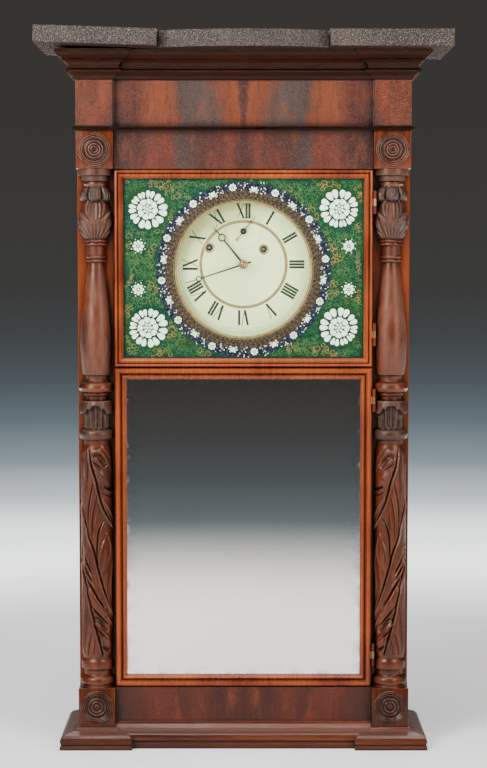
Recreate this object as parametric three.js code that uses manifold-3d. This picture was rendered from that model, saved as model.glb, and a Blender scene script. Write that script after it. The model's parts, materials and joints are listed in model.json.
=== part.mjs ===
// Weight-driven shelf clock with carved half columns, two doors and a brass movement.
// Millimetres, +Z up, front faces -Y, origin at the middle of the base under the top slabs' outline.
import * as THREE from "three";
import { mergeVertices } from "three/addons/utils/BufferGeometryUtils.js";
import Module from "manifold-3d";

const wasm = await Module();
wasm.setup();

// Case
const caseWidth = 461;
const caseHeight = 966.5;
const sideThick = 14;
const backThick = 8;
const floorThick = 14;
const topBoardThick = 18;
const stileThick = 18;
const blockWidth = 51;
const blockThick = 24;
const railRecess = 10;
const ledgeThick = 4.8;
const ledgeProud = 4;
const divisionHeight = 40;
const divisionThick = 13.4;
const glueLap = 1;

// Heights of the lower rail, door meeting, dial centre, upper blocks and ledge, as shares of the case height
const heightShares = [0.08484, 0.54941, 0.69705, 0.8329, 0.88774];

// Top slabs
const slabWidth = 566;
const slabDepth = 188;
const slabThick = 22.8;
const centreSlabWidth = 231.2;
const slabJoint = 1.2;
const slabBow = 22;
const slabSeatGap = 0.3;
const leftSlabLift = 5.3;

// Mouldings
const corniceHeight = 40.5;
const corniceProud = 26.5;
const plinthHeight = 27;
const plinthProud = 24.8;
const centreBaseHeight = 34;
const centreBaseProud = 24;

// Rosettes and columns
const rosetteRadius = 23.6;
const rosetteRelief = 2.2;
const rosetteSeat = 2;
const columnRadius = 24.9;
const leafRelief = 2.6;

// Doors
const doorRecess = 8;
const doorThick = 20;
const doorGap = 0.8;
const upperFrameWidth = 12;
const lowerFrameWidth = 15.8;
const rabbetWidth = 5.5;
const glassThick = 2.5;
const mirrorThick = 3;
const mirrorBackThick = 3;
const seatGap = 0.3;
const hingeRadius = 2.2;
const hingeLength = 32;
const hingeAxisOut = 1.9;
const hingeAxisIn = 0.5;
const hingePinRadius = 0.9;
const hingeBoreRadius = 1.4;
const hingeLeafThick = 0.9;
const hingeLeafGap = 0.25;
const hingeInset = 45;
const knuckleGap = 0.3;

// Dial and hands
const dialThick = 2;
const dialClearance = 6;
const dialStripWidth = 12;
const dialStripThick = 5.7;
const dialHole = 6;
const windingHole = 4.9;
const secondsHole = 2;
const dialEdgeGap = 2.5;
const minuteHandLength = 86;
const hourHandLength = 68;
const secondsHandLength = 26.6;
const handThick = 1;
const hubRadius = 6.4;
const hubThick = 3.7;

// Movement frame
const motionSpace = 22;
const plateThick = 2;
const plateGap = 40;
const strikeSideReach = 90;
const timeSideReach = 68;
const lowerReach = 48;
const plateMargin = 12;
const rearSpace = 22;
const pillarRadius = 4;
const mountBlock = 20;
const arborRadius = 1.3;
const pivotRadius = 0.8;
const pivotHole = 1.3;
const runGap = 0.4;
const endShake = 0.5;
const wheelThick = 1.5;
const pinionLength = 4.5;

// Time train, places measured from the dial centre
const timeWindAside = 28.1;
const timeWindRise = 21.1;
const strikeWindAside = 47.6;
const strikeWindRise = 23.3;
const secondsArborUp = 46;
const trainModule = 0.95;
const strikeModule = 0.85;
const pinWheelModule = 0.8;
const lockModule = 0.75;
const motionModule = 0.8;
const greatThick = 2;
const escapeRadius = 20;
const escapeToothDepth = 2.6;
const palletClear = 1;
const drumRadius = 5.6;
const drumFlange = 9.3;
const ratchetRadius = 9;
const windingRadius = 2.5;

// Depths between the plates, as shares of the gap: centre, third, escape and great wheels,
// pin wheel, locking wheel, fly, hammer, cord, count wheel, then the drum's and the fly's own lengths
const stepShares = [0.1, 0.35, 0.55, 0.85, 0.15, 0.4, 0.525, 0.7, 0.6, 0.93, 0.65, 0.375];

// Pendulum
const pendulumLength = 442;
const pendulumSetback = 108;
const bobRadius = 38;
const bobThick = 14;
const rodRadius = 1.1;
const crutchLength = 60;

// Strike work
const strikePinRadius = 15;
const flyRadius = 13;
const countRadius = 26;
const countSlotDepth = 3;
const slotWidth = 1.2;
const bellRadius = 38;
const bellDepth = 22;
const bellWall = 2;
const bellAside = 62;
const bellDrop = 95;
const hammerHeadRadius = 5;
const hammerHeadLength = 16;
const hammerRest = 2;

// Weights, cords and pulleys
const cordRadius = 0.75;
const weightRadius = 27;
const weightHeight = 190;
const weightFloorGap = 10;
const weightSideGap = 9.5;
const weightLoop = 5;
const weightLoopWire = 1.4;
const pulleyRadius = 14;
const pulleyFlange = 16;
const pulleyThick = 8;
const pulleyAxle = 2;
const pulleyDrop = 18.5;
const bracketThick = 1.5;

// Counts and angles
const greatTeeth = 72;
const centreTeeth = 48;
const thirdTeeth = 45;
const escapeTeeth = 45;
const strikeGreatTeeth = 78;
const pinTeeth = 48;
const lockTeeth = 48;
const pinionLeaves = 6;
const lockLeaves = 8;
const cannonLeaves = 10;
const minuteTeeth = 30;
const minuteLeaves = 8;
const hourTeeth = 32;
const ratchetTeeth = 12;
const strikePins = 6;
const roundSides = 16;
const smallSides = 8;
const arborSides = 6;
const drumSides = 12;
const squareSides = 4;
const columnSides = 9;
const columnLobes = 5;
const shaftTurnShare = 0.55;
const quarterTurn = Math.PI / 2;
const fullTurn = 2 * Math.PI;
const hourHandAngle = THREE.MathUtils.degToRad(321);
const minuteHandAngle = THREE.MathUtils.degToRad(252);
const secondsHandAngle = THREE.MathUtils.degToRad(38);

// Tooth forms, in modules and in shares of the tooth pitch
const wheelTipShare = 0.85;
const wheelRootShare = 1.35;
const toothSpaceShare = 0.5;
const leafTipShare = 0.75;
const leafRootShare = 1.45;
const leafBaseShare = 0.4;
const leafCrownShare = 0.16;
const escapeTipShare = 0.85;

// Planes and places that follow from the sizes above
const [lowerRailTop, doorMeeting, dialCentreHeight, upperBlockBottom, ledgeBottom] = heightShares.map(
  (share) => share * caseHeight,
);
const dialSetback = doorRecess + doorThick + dialClearance;
const plateSetback = dialSetback + motionSpace;
const bodyDepth = plateSetback + plateThick * 2 + plateGap + rearSpace + backThick;
const backY = slabDepth / 2;
const faceY = backY - bodyDepth;
const railY = faceY + railRecess;
const stileY = faceY + blockThick;
const stileBackY = stileY + stileThick;
const boardY = backY - backThick;
const doorY = faceY + doorRecess;
const doorBackY = doorY + doorThick;
const caseHalf = caseWidth / 2;
const innerHalf = caseHalf - blockWidth;
const chamberHalf = caseHalf - sideThick;
const doorHalf = innerHalf - doorGap;
const ledgeTop = ledgeBottom + ledgeThick;
const dialY = faceY + dialSetback;
const frontPlateY = faceY + plateSetback;
const gapY = frontPlateY + plateThick;
const backPlateY = gapY + plateGap;
const columnX = caseHalf - blockWidth / 2;
const weightX = chamberHalf - weightSideGap - weightRadius;
const [
  stepCentre, stepThird, stepEscape, stepGreat, stepPin, stepLock, stepFly, stepHammer, stepCord, stepCountWheel,
  drumLength, flyDepth,
] = stepShares.map((share) => share * plateGap);

const wood = { color: 0x5a2a1a, roughness: 0.4, metalness: 0 };
const veneer = { color: 0x7a3c20, roughness: 0.35, metalness: 0 };
const pine = { color: 0xa9825a, roughness: 0.8, metalness: 0 };
const slabPaint = { color: 0x5b5350, roughness: 0.8, metalness: 0 };
const brass = { color: 0xb08d4a, roughness: 0.35, metalness: 1 };
const steel = { color: 0x6a6d72, roughness: 0.35, metalness: 1 };
const blueSteel = { color: 0x1b2230, roughness: 0.3, metalness: 1 };
const iron = { color: 0x3a3a3a, roughness: 0.7, metalness: 0.8 };
const dialPaint = { color: 0xdedcc6, roughness: 0.5, metalness: 0 };
const tabletGlass = { color: 0x3f7a52, roughness: 0.15, metalness: 0 };
const mirrorGlass = { color: 0xc8ccca, roughness: 0.05, metalness: 1 };
const cordBrown = { color: 0x8a7a5c, roughness: 0.9, metalness: 0 };

const group = new THREE.Group();

function addPiece(name, geometry, finish, x = 0, z = 0, turn = 0) {
  const mesh = new THREE.Mesh(geometry, new THREE.MeshStandardMaterial(finish));
  mesh.name = name;
  mesh.position.set(x, 0, z);
  mesh.rotation.y = turn;
  group.add(mesh);
  return mesh;
}

function solidOf(geometry) {
  const bare = geometry.clone();
  bare.deleteAttribute("normal");
  bare.deleteAttribute("uv");
  const merged = mergeVertices(bare, 1e-4);
  return new wasm.Manifold(
    new wasm.Mesh({
      numProp: 3,
      vertProperties: new Float32Array(merged.attributes.position.array),
      triVerts: new Uint32Array(merged.index.array),
    }),
  );
}

function geometryOf(solid) {
  const mesh = solid.getMesh();
  const geometry = new THREE.BufferGeometry();
  geometry.setAttribute("position", new THREE.BufferAttribute(mesh.vertProperties, 3));
  geometry.setIndex(new THREE.BufferAttribute(mesh.triVerts, 1));
  geometry.computeVertexNormals();
  return geometry;
}

function join(...geometries) {
  return geometryOf(geometries.map(solidOf).reduce((whole, next) => whole.add(next)));
}

function cut(geometry, ...tools) {
  return geometryOf(tools.map(solidOf).reduce((whole, next) => whole.subtract(next), solidOf(geometry)));
}

function boxBetween(x0, x1, y0, y1, z0, z1) {
  const box = new THREE.BoxGeometry(x1 - x0, y1 - y0, z1 - z0);
  return box.translate((x0 + x1) / 2, (y0 + y1) / 2, (z0 + z1) / 2);
}

// A plate drawn in X and Z, as seen from the front, between two depths.
function plateBetween(shape, y0, y1) {
  const plate = new THREE.ExtrudeGeometry(shape, { depth: y1 - y0, bevelEnabled: false, curveSegments: smallSides });
  return plate.rotateX(quarterTurn).translate(0, y1, 0);
}

// A profile of radius and depth turned about an axis along Y.
function turnedAlongY(points, sides) {
  const outline = points.map(([radius, depth]) => new THREE.Vector2(radius, depth));
  return new THREE.LatheGeometry(outline, sides);
}

function rodAlongY(radius, y0, y1, sides = arborSides) {
  return turnedAlongY([[0, y0], [radius, y0], [radius, y1], [0, y1]], sides);
}

function rodAlongZ(radius, z0, z1, sides = smallSides) {
  return rodAlongY(radius, z0, z1, sides).rotateX(quarterTurn);
}

function rodBetween(from, to, radius, sides = arborSides) {
  const along = new THREE.Vector3().subVectors(to, from);
  const rod = rodAlongY(radius, 0, along.length(), sides);
  const turn = new THREE.Quaternion().setFromUnitVectors(new THREE.Vector3(0, 1, 0), along.normalize());
  return rod.applyQuaternion(turn).translate(from.x, from.y, from.z);
}

function shapeOf(points) {
  return new THREE.Shape(points.map(([x, z]) => new THREE.Vector2(x, z)));
}

function closedSurface(vertices, triangles) {
  const geometry = new THREE.BufferGeometry();
  geometry.setAttribute("position", new THREE.Float32BufferAttribute(vertices.flat(), 3));
  geometry.setIndex(triangles.flat());
  const solid = solidOf(geometry);
  if (solid.volume() < 0) geometry.setIndex(triangles.map(([a, b, c]) => [a, c, b]).flat());
  return geometry;
}

// A closed profile carried round a rectangle with mitred corners; the profile is inset and depth.
function mitredFrame(profile, half, low, high, frontY) {
  const corners = [[-1, 0], [1, 0], [1, 1], [-1, 1]];
  const vertices = corners.flatMap(([side, top]) =>
    profile.map(([inset, depth]) => [side * (half - inset), frontY + depth, top ? high - inset : low + inset]),
  );
  const count = profile.length;
  const triangles = [];
  corners.forEach((corner, at) => {
    const next = (at + 1) % corners.length;
    profile.forEach((point, i) => {
      const j = (i + 1) % count;
      triangles.push([at * count + i, next * count + i, next * count + j]);
      triangles.push([at * count + i, next * count + j, at * count + j]);
    });
  });
  return closedSurface(vertices, triangles);
}

// A closed profile of projection and height carried along a plan line, mitred at each corner.
function mouldingAlong(path, profile) {
  const normals = path.slice(1).map(([x, y], i) => {
    const step = new THREE.Vector2(x - path[i][0], y - path[i][1]).normalize();
    return new THREE.Vector2(step.y, -step.x);
  });
  const vertices = path.flatMap(([x, y], i) => {
    const before = normals[Math.max(i - 1, 0)];
    const after = normals[Math.min(i, normals.length - 1)];
    const mitre = before.clone().add(after).divideScalar(1 + before.dot(after));
    return profile.map(([proud, z]) => [x + mitre.x * proud, y + mitre.y * proud, z]);
  });
  const count = profile.length;
  const triangles = [];
  for (let at = 0; at + 1 < path.length; at++) {
    for (let i = 0; i < count; i++) {
      const j = (i + 1) % count;
      triangles.push([at * count + i, (at + 1) * count + i, (at + 1) * count + j]);
      triangles.push([at * count + i, (at + 1) * count + j, at * count + j]);
    }
  }
  const cap = THREE.ShapeUtils.triangulateShape(profile.map(([p, z]) => new THREE.Vector2(p, z)), []);
  const clockwise = THREE.ShapeUtils.area(profile.map(([p, z]) => new THREE.Vector2(p, z))) < 0;
  const last = (path.length - 1) * count;
  cap.forEach(([a, b, c]) => {
    const [p, q] = clockwise ? [c, b] : [b, c];
    triangles.push([a, p, q]);
    triangles.push([last + a, last + q, last + p]);
  });
  return closedSurface(vertices, triangles);
}

function scaled(shares, proud, height, baseZ) {
  return shares.map(([p, z]) => [p * proud, baseZ + z * height]);
}

// Case boards
function buildCarcass() {
  const blocks = [-1, 1].flatMap((side) =>
    [0, 1].map((top) => {
      const outer = side < 0 ? -strikeSideReach : timeSideReach;
      const low = dialCentreHeight + (top ? upperReach - mountBlock : -lowerReach);
      const [x0, x1] = side < 0 ? [outer, outer + mountBlock] : [outer - mountBlock, outer];
      return boxBetween(x0, x1, backPlateY + plateThick, boardY + glueLap, low, low + mountBlock);
    }),
  );
  addPiece("backboard", join(boxBetween(-chamberHalf, chamberHalf, boardY, backY, 0, caseHeight), ...blocks), pine);
  for (const [side, word] of [[-1, "left"], [1, "right"]]) {
    const [x0, x1] = side < 0 ? [-caseHalf, -chamberHalf] : [chamberHalf, caseHalf];
    addPiece(`side_board_${word}`, boxBetween(x0, x1, stileBackY, backY, 0, caseHeight), wood);
  }
  addPiece("floor_board", boxBetween(-chamberHalf, chamberHalf, stileBackY, boardY, 0, floorThick), pine);
  addPiece("lower_rail", boxBetween(-innerHalf, innerHalf, railY, stileBackY, 0, lowerRailTop), veneer);
  const divisionLow = doorMeeting - divisionHeight / 2;
  const divisionY = stileBackY - divisionThick;
  addPiece(
    "division_rail",
    boxBetween(-innerHalf, innerHalf, divisionY, stileBackY, divisionLow, divisionLow + divisionHeight),
    pine,
  );
}

// Pulleys hang from the top board between two cheeks on a fixed axle.
function pulleyAt(side) {
  return { x: side * (weightX - pulleyRadius), z: caseHeight - topBoardThick - pulleyDrop };
}

function buildTopBoard() {
  const cordY = gapY + stepCord;
  const half = pulleyThick / 2 + runGap;
  const hangers = [-1, 1].flatMap((side) => {
    const { x, z } = pulleyAt(side);
    const width = pulleyRadius / 2;
    const top = caseHeight - topBoardThick + glueLap;
    return [
      boxBetween(x - width, x + width, cordY - half - bracketThick, cordY - half, z - width, top),
      boxBetween(x - width, x + width, cordY + half, cordY + half + bracketThick, z - width, top),
      rodAlongY(pulleyAxle, cordY - half - bracketThick / 2, cordY + half + bracketThick / 2, smallSides)
        .translate(x, 0, z),
    ];
  });
  const board = boxBetween(
    -chamberHalf, chamberHalf, stileBackY, boardY, caseHeight - topBoardThick, caseHeight,
  );
  addPiece("top_board", join(board, ...hangers), pine);
}

// Butt hinge at one height: knuckles and pin on the case, the middle knuckle on the door.
function hingeParts(z) {
  const x = innerHalf + hingeAxisOut;
  const y = doorY + hingeAxisIn;
  const third = hingeLength / 3;
  const low = z - hingeLength / 2;
  const high = z + hingeLength / 2;
  const leafX = doorHalf + hingeLeafGap;
  const caseSide = [
    rodAlongZ(hingePinRadius, low, high, arborSides),
    rodAlongZ(hingeRadius, low, low + third, arborSides),
    rodAlongZ(hingeRadius, high - third, high, arborSides),
  ].map((rod) => rod.translate(x, y, 0));
  for (const [from, to] of [[low, low + third], [high - third, high]]) {
    caseSide.push(boxBetween(leafX, leafX + hingeLeafThick, y, stileY + glueLap, from, to));
  }
  const bottom = low + third + knuckleGap;
  const top = high - third - knuckleGap;
  const knuckle = cut(
    rodAlongZ(hingeRadius, bottom, top),
    rodAlongZ(hingeBoreRadius, bottom - glueLap, top + glueLap),
  ).translate(x, y, 0);
  const reach = x - (hingeBoreRadius + hingeRadius) / 2;
  const doorSide = join(
    knuckle,
    boxBetween(doorHalf - hingeRadius, reach, y - hingeLeafThick / 2, y + hingeRadius * 2, bottom, top),
  );
  return { caseSide, doorSide };
}

const upperDoorLow = doorMeeting + doorGap;
const upperDoorHigh = upperBlockBottom - doorGap;
const lowerDoorLow = lowerRailTop + doorGap;
const lowerDoorHigh = doorMeeting - doorGap;
const upperHinges = [upperDoorLow + hingeInset, upperDoorHigh - hingeInset].map(hingeParts);
const lowerHinges = [lowerDoorLow + hingeInset, lowerDoorHigh - hingeInset].map(hingeParts);

// Front: stiles, blocks, columns, frieze and ledge
function buildStiles() {
  const stripY = dialY + dialThick + seatGap;
  for (const [side, word] of [[-1, "left"], [1, "right"]]) {
    const [x0, x1] = side < 0 ? [-caseHalf, -innerHalf] : [innerHalf, caseHalf];
    const edge = side * innerHalf;
    const [s0, s1] = side < 0 ? [edge - glueLap, edge + dialStripWidth] : [edge - dialStripWidth, edge + glueLap];
    const pieces = [
      boxBetween(x0, x1, stileY, stileBackY, 0, caseHeight),
      boxBetween(s0, s1, stripY, stripY + dialStripThick, upperDoorLow + divisionHeight / 2, upperDoorHigh),
    ];
    if (side > 0) [...upperHinges, ...lowerHinges].forEach((hinge) => pieces.push(...hinge.caseSide));
    addPiece(`stile_${word}`, join(...pieces), wood);
  }
}

// Turned rings of a corner block: share of the rosette radius and of the relief.
const upperRosetteShares = [
  [0, 0.15], [0.14, 0.2], [0.3, 0.75], [0.4, 0.35], [0.5, 0.85], [0.68, 0.3], [0.8, 0.9], [0.94, 1], [1, 0.2],
];
const lowerRosetteShares = [
  [0, 1], [0.16, 0.8], [0.24, 0.25], [0.4, 0.3], [0.5, 0.85], [0.68, 0.3], [0.8, 0.9], [0.94, 1], [1, 0.2],
];

function buildBlocks() {
  const rows = [
    ["lower", 0, lowerRailTop, lowerRailTop - blockWidth / 2 - glueLap, lowerRosetteShares],
    ["upper", upperBlockBottom, ledgeBottom, (upperBlockBottom + ledgeBottom) / 2, upperRosetteShares],
  ];
  for (const [level, z0, z1, centreZ, shares] of rows) {
    for (const [side, word] of [[-1, "left"], [1, "right"]]) {
      const [x0, x1] = side < 0 ? [-caseHalf, -innerHalf] : [innerHalf, caseHalf];
      const rings = shares.map(([r, h]) => [r * rosetteRadius, faceY - h * rosetteRelief]);
      const rosette = turnedAlongY(
        [...rings, [rosetteRadius, faceY + rosetteSeat], [0, faceY + rosetteSeat]],
        roundSides,
      ).translate(side * columnX, 0, centreZ);
      addPiece(`rosette_block_${level}_${word}`, join(boxBetween(x0, x1, faceY, stileY, z0, z1), rosette), wood);
    }
  }
}

// Half column from the foot up: share of the height, share of the radius, share of the leaf relief.
const columnShares = [
  [0, 1, 0], [0.01, 1, 0], [0.021, 0.92, 0], [0.022, 0.79, 0], [0.033, 0.79, 0], [0.034, 0.89, 0],
  [0.044, 0.92, 0], [0.055, 0.89, 0], [0.056, 0.85, 0], [0.064, 0.93, 0.3], [0.1, 0.965, 1],
  [0.148, 0.965, 1], [0.196, 0.965, 1], [0.244, 0.965, 1], [0.292, 0.965, 1], [0.34, 0.965, 1],
  [0.388, 0.965, 1], [0.434, 0.94, 1], [0.458, 0.85, 0.6], [0.471, 0.74, 0.2], [0.483, 0.78, 0],
  [0.484, 0.89, 0], [0.491, 0.98, 0], [0.498, 0.89, 0], [0.499, 0.62, 0.2], [0.529, 0.77, 0.9],
  [0.554, 0.91, 0.7], [0.557, 0.66, 0], [0.565, 0.66, 0], [0.566, 0.73, 0], [0.572, 0.73, 0],
  [0.573, 0.93, 0], [0.581, 0.98, 0], [0.591, 0.93, 0], [0.592, 0.77, 0], [0.596, 0.64, 0],
  [0.605, 0.64, 0], [0.607, 0.78, 0], [0.635, 0.86, 0], [0.669, 0.9, 0], [0.71, 0.82, 0],
  [0.751, 0.69, 0], [0.787, 0.56, 0], [0.822, 0.46, 0], [0.824, 0.59, 0], [0.833, 0.59, 0],
  [0.853, 0.58, 0], [0.855, 0.69, 0], [0.864, 0.69, 0], [0.88, 0.8, 1], [0.899, 0.92, 1],
  [0.913, 0.83, 1], [0.941, 0.56, 0.3], [0.943, 0.78, 0.8], [0.949, 0.92, 1], [0.962, 0.91, 0.8],
  [0.969, 0.67, 0], [0.976, 0.67, 0], [0.978, 0.8, 0], [0.987, 0.8, 0], [0.988, 1, 0], [1, 1, 0],
];
const shaftFootShare = 0.064;
const shaftHeadShare = 0.471;

function buildColumns() {
  const height = upperBlockBottom - lowerRailTop;
  for (const [side, word] of [[-1, "left"], [1, "right"]]) {
    const vertices = [];
    for (const [z, r, leaf] of columnShares) {
      const along = THREE.MathUtils.clamp((z - shaftFootShare) / (shaftHeadShare - shaftFootShare), 0, 1);
      const twist = side * along * shaftTurnShare * fullTurn;
      for (let i = 0; i <= columnSides; i++) {
        const angle = (i / columnSides - 0.5) * Math.PI;
        const valley = (1 - Math.cos(columnLobes * angle + columnLobes * twist)) / 2;
        const radius = r * columnRadius - leaf * valley * leafRelief;
        vertices.push([
          side * columnX + radius * Math.sin(angle),
          i % columnSides ? stileY - radius * Math.cos(angle) : stileY,
          lowerRailTop + z * height,
        ]);
      }
    }
    const ring = columnSides + 1;
    const triangles = [];
    for (let row = 0; row + 1 < columnShares.length; row++) {
      for (let i = 0; i < ring; i++) {
        const j = (i + 1) % ring;
        triangles.push([row * ring + i, row * ring + j, (row + 1) * ring + j]);
        triangles.push([row * ring + i, (row + 1) * ring + j, (row + 1) * ring + i]);
      }
    }
    const last = (columnShares.length - 1) * ring;
    for (let i = 1; i < columnSides; i++) {
      triangles.push([0, i + 1, i]);
      triangles.push([last, last + i, last + i + 1]);
    }
    addPiece(`column_${word}`, closedSurface(vertices, triangles), wood);
  }
}

function buildFrieze() {
  const ends = [-1, 1].map((side) => {
    const [x0, x1] = side < 0 ? [-caseHalf, -innerHalf] : [innerHalf, caseHalf];
    return boxBetween(x0, x1, faceY, stileY, ledgeTop, caseHeight);
  });
  const board = boxBetween(-innerHalf, innerHalf, railY, stileBackY, upperBlockBottom, caseHeight);
  const tongue = innerHalf + glueLap;
  const spline = boxBetween(-tongue, tongue, railY + glueLap, stileY - glueLap, ledgeTop + glueLap, caseHeight);
  addPiece("frieze_board", join(board, spline, ...ends), veneer);
  const reach = caseHalf + ledgeProud;
  const plan = [
    [-reach, faceY - ledgeProud], [reach, faceY - ledgeProud], [reach, stileY], [innerHalf, stileY],
    [innerHalf, railY], [-innerHalf, railY], [-innerHalf, stileY], [-reach, stileY],
  ];
  const ledge = new THREE.ExtrudeGeometry(shapeOf(plan), { depth: ledgeThick, bevelEnabled: false });
  addPiece("frieze_ledge", ledge.translate(0, 0, ledgeBottom), wood);
}

// Cornice from its foot up: share of the projection, share of the height.
const corniceShares = [
  [0, 0], [0.08, 0.05], [0.14, 0.14], [0.28, 0.22], [0.4, 0.225], [0.49, 0.26], [0.5, 0.31], [0.42, 0.36],
  [0.32, 0.37], [0.34, 0.47], [0.42, 0.57], [0.56, 0.63], [0.64, 0.64], [0.64, 0.7], [0.74, 0.74],
  [0.88, 0.8], [0.98, 0.9], [1, 1], [0, 1],
];
const plinthShares = [
  [0, 0], [1, 0], [1, 0.18], [0.9, 0.21], [0.9, 0.26], [0.95, 0.3], [1, 0.45], [0.95, 0.62], [0.8, 0.74],
  [0.56, 0.79], [0.3, 0.85], [0.12, 0.94], [0.08, 1], [0, 1],
];
const centreBaseShares = [
  [0, 0], [1, 0], [1, 0.25], [0.9, 0.27], [0.9, 0.31], [1, 0.34], [1.03, 0.45], [1, 0.57], [0.92, 0.62],
  [0.62, 0.66], [0.36, 0.76], [0.16, 0.9], [0.1, 1], [0, 1],
];

function buildMouldings() {
  const breakfront = [
    [-caseHalf, backY], [-caseHalf, faceY], [-innerHalf, faceY], [-innerHalf, railY],
    [innerHalf, railY], [innerHalf, faceY], [caseHalf, faceY], [caseHalf, backY],
  ];
  const cornice = scaled(corniceShares, corniceProud, corniceHeight, caseHeight - corniceHeight);
  addPiece("cornice_moulding", mouldingAlong(breakfront, cornice), wood);
  const plinth = scaled(plinthShares, plinthProud, plinthHeight, 0);
  const centre = scaled(centreBaseShares, centreBaseProud, centreBaseHeight, 0);
  addPiece(
    "base_moulding",
    join(
      mouldingAlong(breakfront.slice(0, 4), plinth),
      mouldingAlong(breakfront.slice(4), plinth),
      mouldingAlong(breakfront.slice(3, 5), centre),
    ),
    wood,
  );
}

function buildSlabs() {
  const half = centreSlabWidth / 2;
  const frontY = backY - slabDepth;
  const radius = (half * half + slabBow * slabBow) / (2 * slabBow);
  const spread = Math.asin(half / radius);
  const bow = new THREE.Shape();
  bow.moveTo(-half, backY);
  bow.lineTo(-half, frontY + slabBow);
  bow.absarc(0, frontY + radius, radius, -quarterTurn - spread, -quarterTurn + spread, false);
  bow.lineTo(half, backY);
  const centre = new THREE.ExtrudeGeometry(bow, {
    depth: slabThick, bevelEnabled: false, curveSegments: roundSides,
  });
  addPiece("top_slab_centre", centre.translate(0, 0, caseHeight), slabPaint);
  const width = slabWidth / 2 - half - slabJoint;
  const side = boxBetween(0, width, frontY, backY, 0, slabThick);
  addPiece("top_slab_right", side, slabPaint, half + slabJoint, caseHeight);
  const left = boxBetween(-width, 0, frontY, backY, 0, slabThick);
  const lift = Math.asin(leftSlabLift / width);
  addPiece("top_slab_left", left, slabPaint, -half - slabJoint, caseHeight + slabSeatGap, lift);
}

// Door profiles from the outer edge: share of the frame width, share of the thickness.
const upperDoorShares = [
  [0, 1], [0, 0.16], [0.1, 0.03], [0.24, 0], [0.34, 0.07], [0.4, 0.16], [0.52, 0.07], [0.72, 0.08],
  [0.88, 0.17], [1, 0.29], [1, 0.4],
];
const lowerDoorShares = [
  [0, 1], [0, 0.18], [0.12, 0.04], [0.28, 0], [0.42, 0.06], [0.46, 0.2], [0.56, 0.3], [0.66, 0.2],
  [0.78, 0.15], [0.88, 0.22], [0.92, 0.32], [1, 0.38], [1, 0.48],
];

function doorFrame(shares, frameWidth, low, high, hinges) {
  const profile = shares.map(([u, v]) => [u * frameWidth, v * doorThick]);
  const seat = profile[profile.length - 1][1];
  profile.push([frameWidth - rabbetWidth, seat], [frameWidth - rabbetWidth, doorThick]);
  const frame = mitredFrame(profile, doorHalf, low, high, doorY);
  const pane = frameWidth - rabbetWidth + seatGap;
  return { frame: join(frame, ...hinges.map((hinge) => hinge.doorSide)), paneY: doorY + seat + seatGap, pane };
}

function buildDoors() {
  const upper = doorFrame(upperDoorShares, upperFrameWidth, upperDoorLow, upperDoorHigh, upperHinges);
  addPiece("upper_door_frame", upper.frame, veneer);
  const glass = boxBetween(
    -doorHalf + upper.pane, doorHalf - upper.pane, upper.paneY, upper.paneY + glassThick,
    upperDoorLow + upper.pane, upperDoorHigh - upper.pane,
  );
  addPiece("painted_tablet", glass, tabletGlass);
  const lower = doorFrame(lowerDoorShares, lowerFrameWidth, lowerDoorLow, lowerDoorHigh, lowerHinges);
  addPiece("lower_door_frame", lower.frame, veneer);
  const paneBox = (y, thick) => boxBetween(
    -doorHalf + lower.pane, doorHalf - lower.pane, y, y + thick,
    lowerDoorLow + lower.pane, lowerDoorHigh - lower.pane,
  );
  addPiece("mirror_glass", paneBox(lower.paneY, mirrorThick), mirrorGlass);
  addPiece("mirror_back", paneBox(lower.paneY + mirrorThick, mirrorBackThick), pine);
}

// Toothed outlines
function wheelOutline(teeth, module) {
  const pitch = fullTurn / teeth;
  const root = (teeth / 2 - wheelRootShare) * module;
  const tip = (teeth / 2 + wheelTipShare) * module;
  const points = [];
  for (let i = 0; i < teeth; i++) {
    for (const [radius, offset] of [[root, -toothSpaceShare], [tip, 0]]) {
      const angle = (i + offset) * pitch;
      points.push([radius * Math.cos(angle), radius * Math.sin(angle)]);
    }
  }
  return points;
}

function leafOutline(leaves, module) {
  const pitch = fullTurn / leaves;
  const root = (leaves / 2 - leafRootShare) * module;
  const tip = (leaves / 2 + leafTipShare) * module;
  const points = [];
  for (let i = 0; i < leaves; i++) {
    const flank = [
      [root, -leafBaseShare / 2], [tip, -leafCrownShare / 2], [tip, leafCrownShare / 2], [root, leafBaseShare / 2],
    ];
    for (const [radius, offset] of flank) {
      const angle = (i + offset) * pitch;
      points.push([radius * Math.cos(angle), radius * Math.sin(angle)]);
    }
  }
  return points;
}

// Rim, arms and hub: windows between four arms, from the hub out to inside the teeth.
const armCount = 4;
const hubRimShare = 0.3;
const rimShare = 0.84;
const armShare = 0.12;

function toothedWheel(teeth, module, y0, y1, arms = armCount) {
  const shape = shapeOf(wheelOutline(teeth, module));
  const root = (teeth / 2 - wheelRootShare) * module;
  for (let arm = 0; arm < arms; arm++) {
    const from = (arm + armShare) / armCount * fullTurn;
    const to = (arm + 1 - armShare) / armCount * fullTurn;
    const middle = (from + to) / 2;
    const window = [
      [hubRimShare, middle], [rimShare, from], [rimShare, middle], [rimShare, to],
    ].map(([share, angle]) => new THREE.Vector2(share * root * Math.cos(angle), share * root * Math.sin(angle)));
    shape.holes.push(new THREE.Path(window));
  }
  return plateBetween(shape, y0, y1);
}

function plainPinion(leaves, module, y0, y1) {
  return plateBetween(shapeOf(leafOutline(leaves, module)), y0, y1);
}

// An arbor between the plates with its two pivots.
function arborBetweenPlates(front = frontPlateY, frontRadius = pivotRadius) {
  const low = gapY + endShake;
  const high = backPlateY - endShake;
  return turnedAlongY(
    [
      [0, front], [frontRadius, front], [frontRadius, low], [arborRadius, low], [arborRadius, high],
      [pivotRadius, high], [pivotRadius, backPlateY + plateThick], [0, backPlateY + plateThick],
    ],
    arborSides,
  );
}

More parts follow.
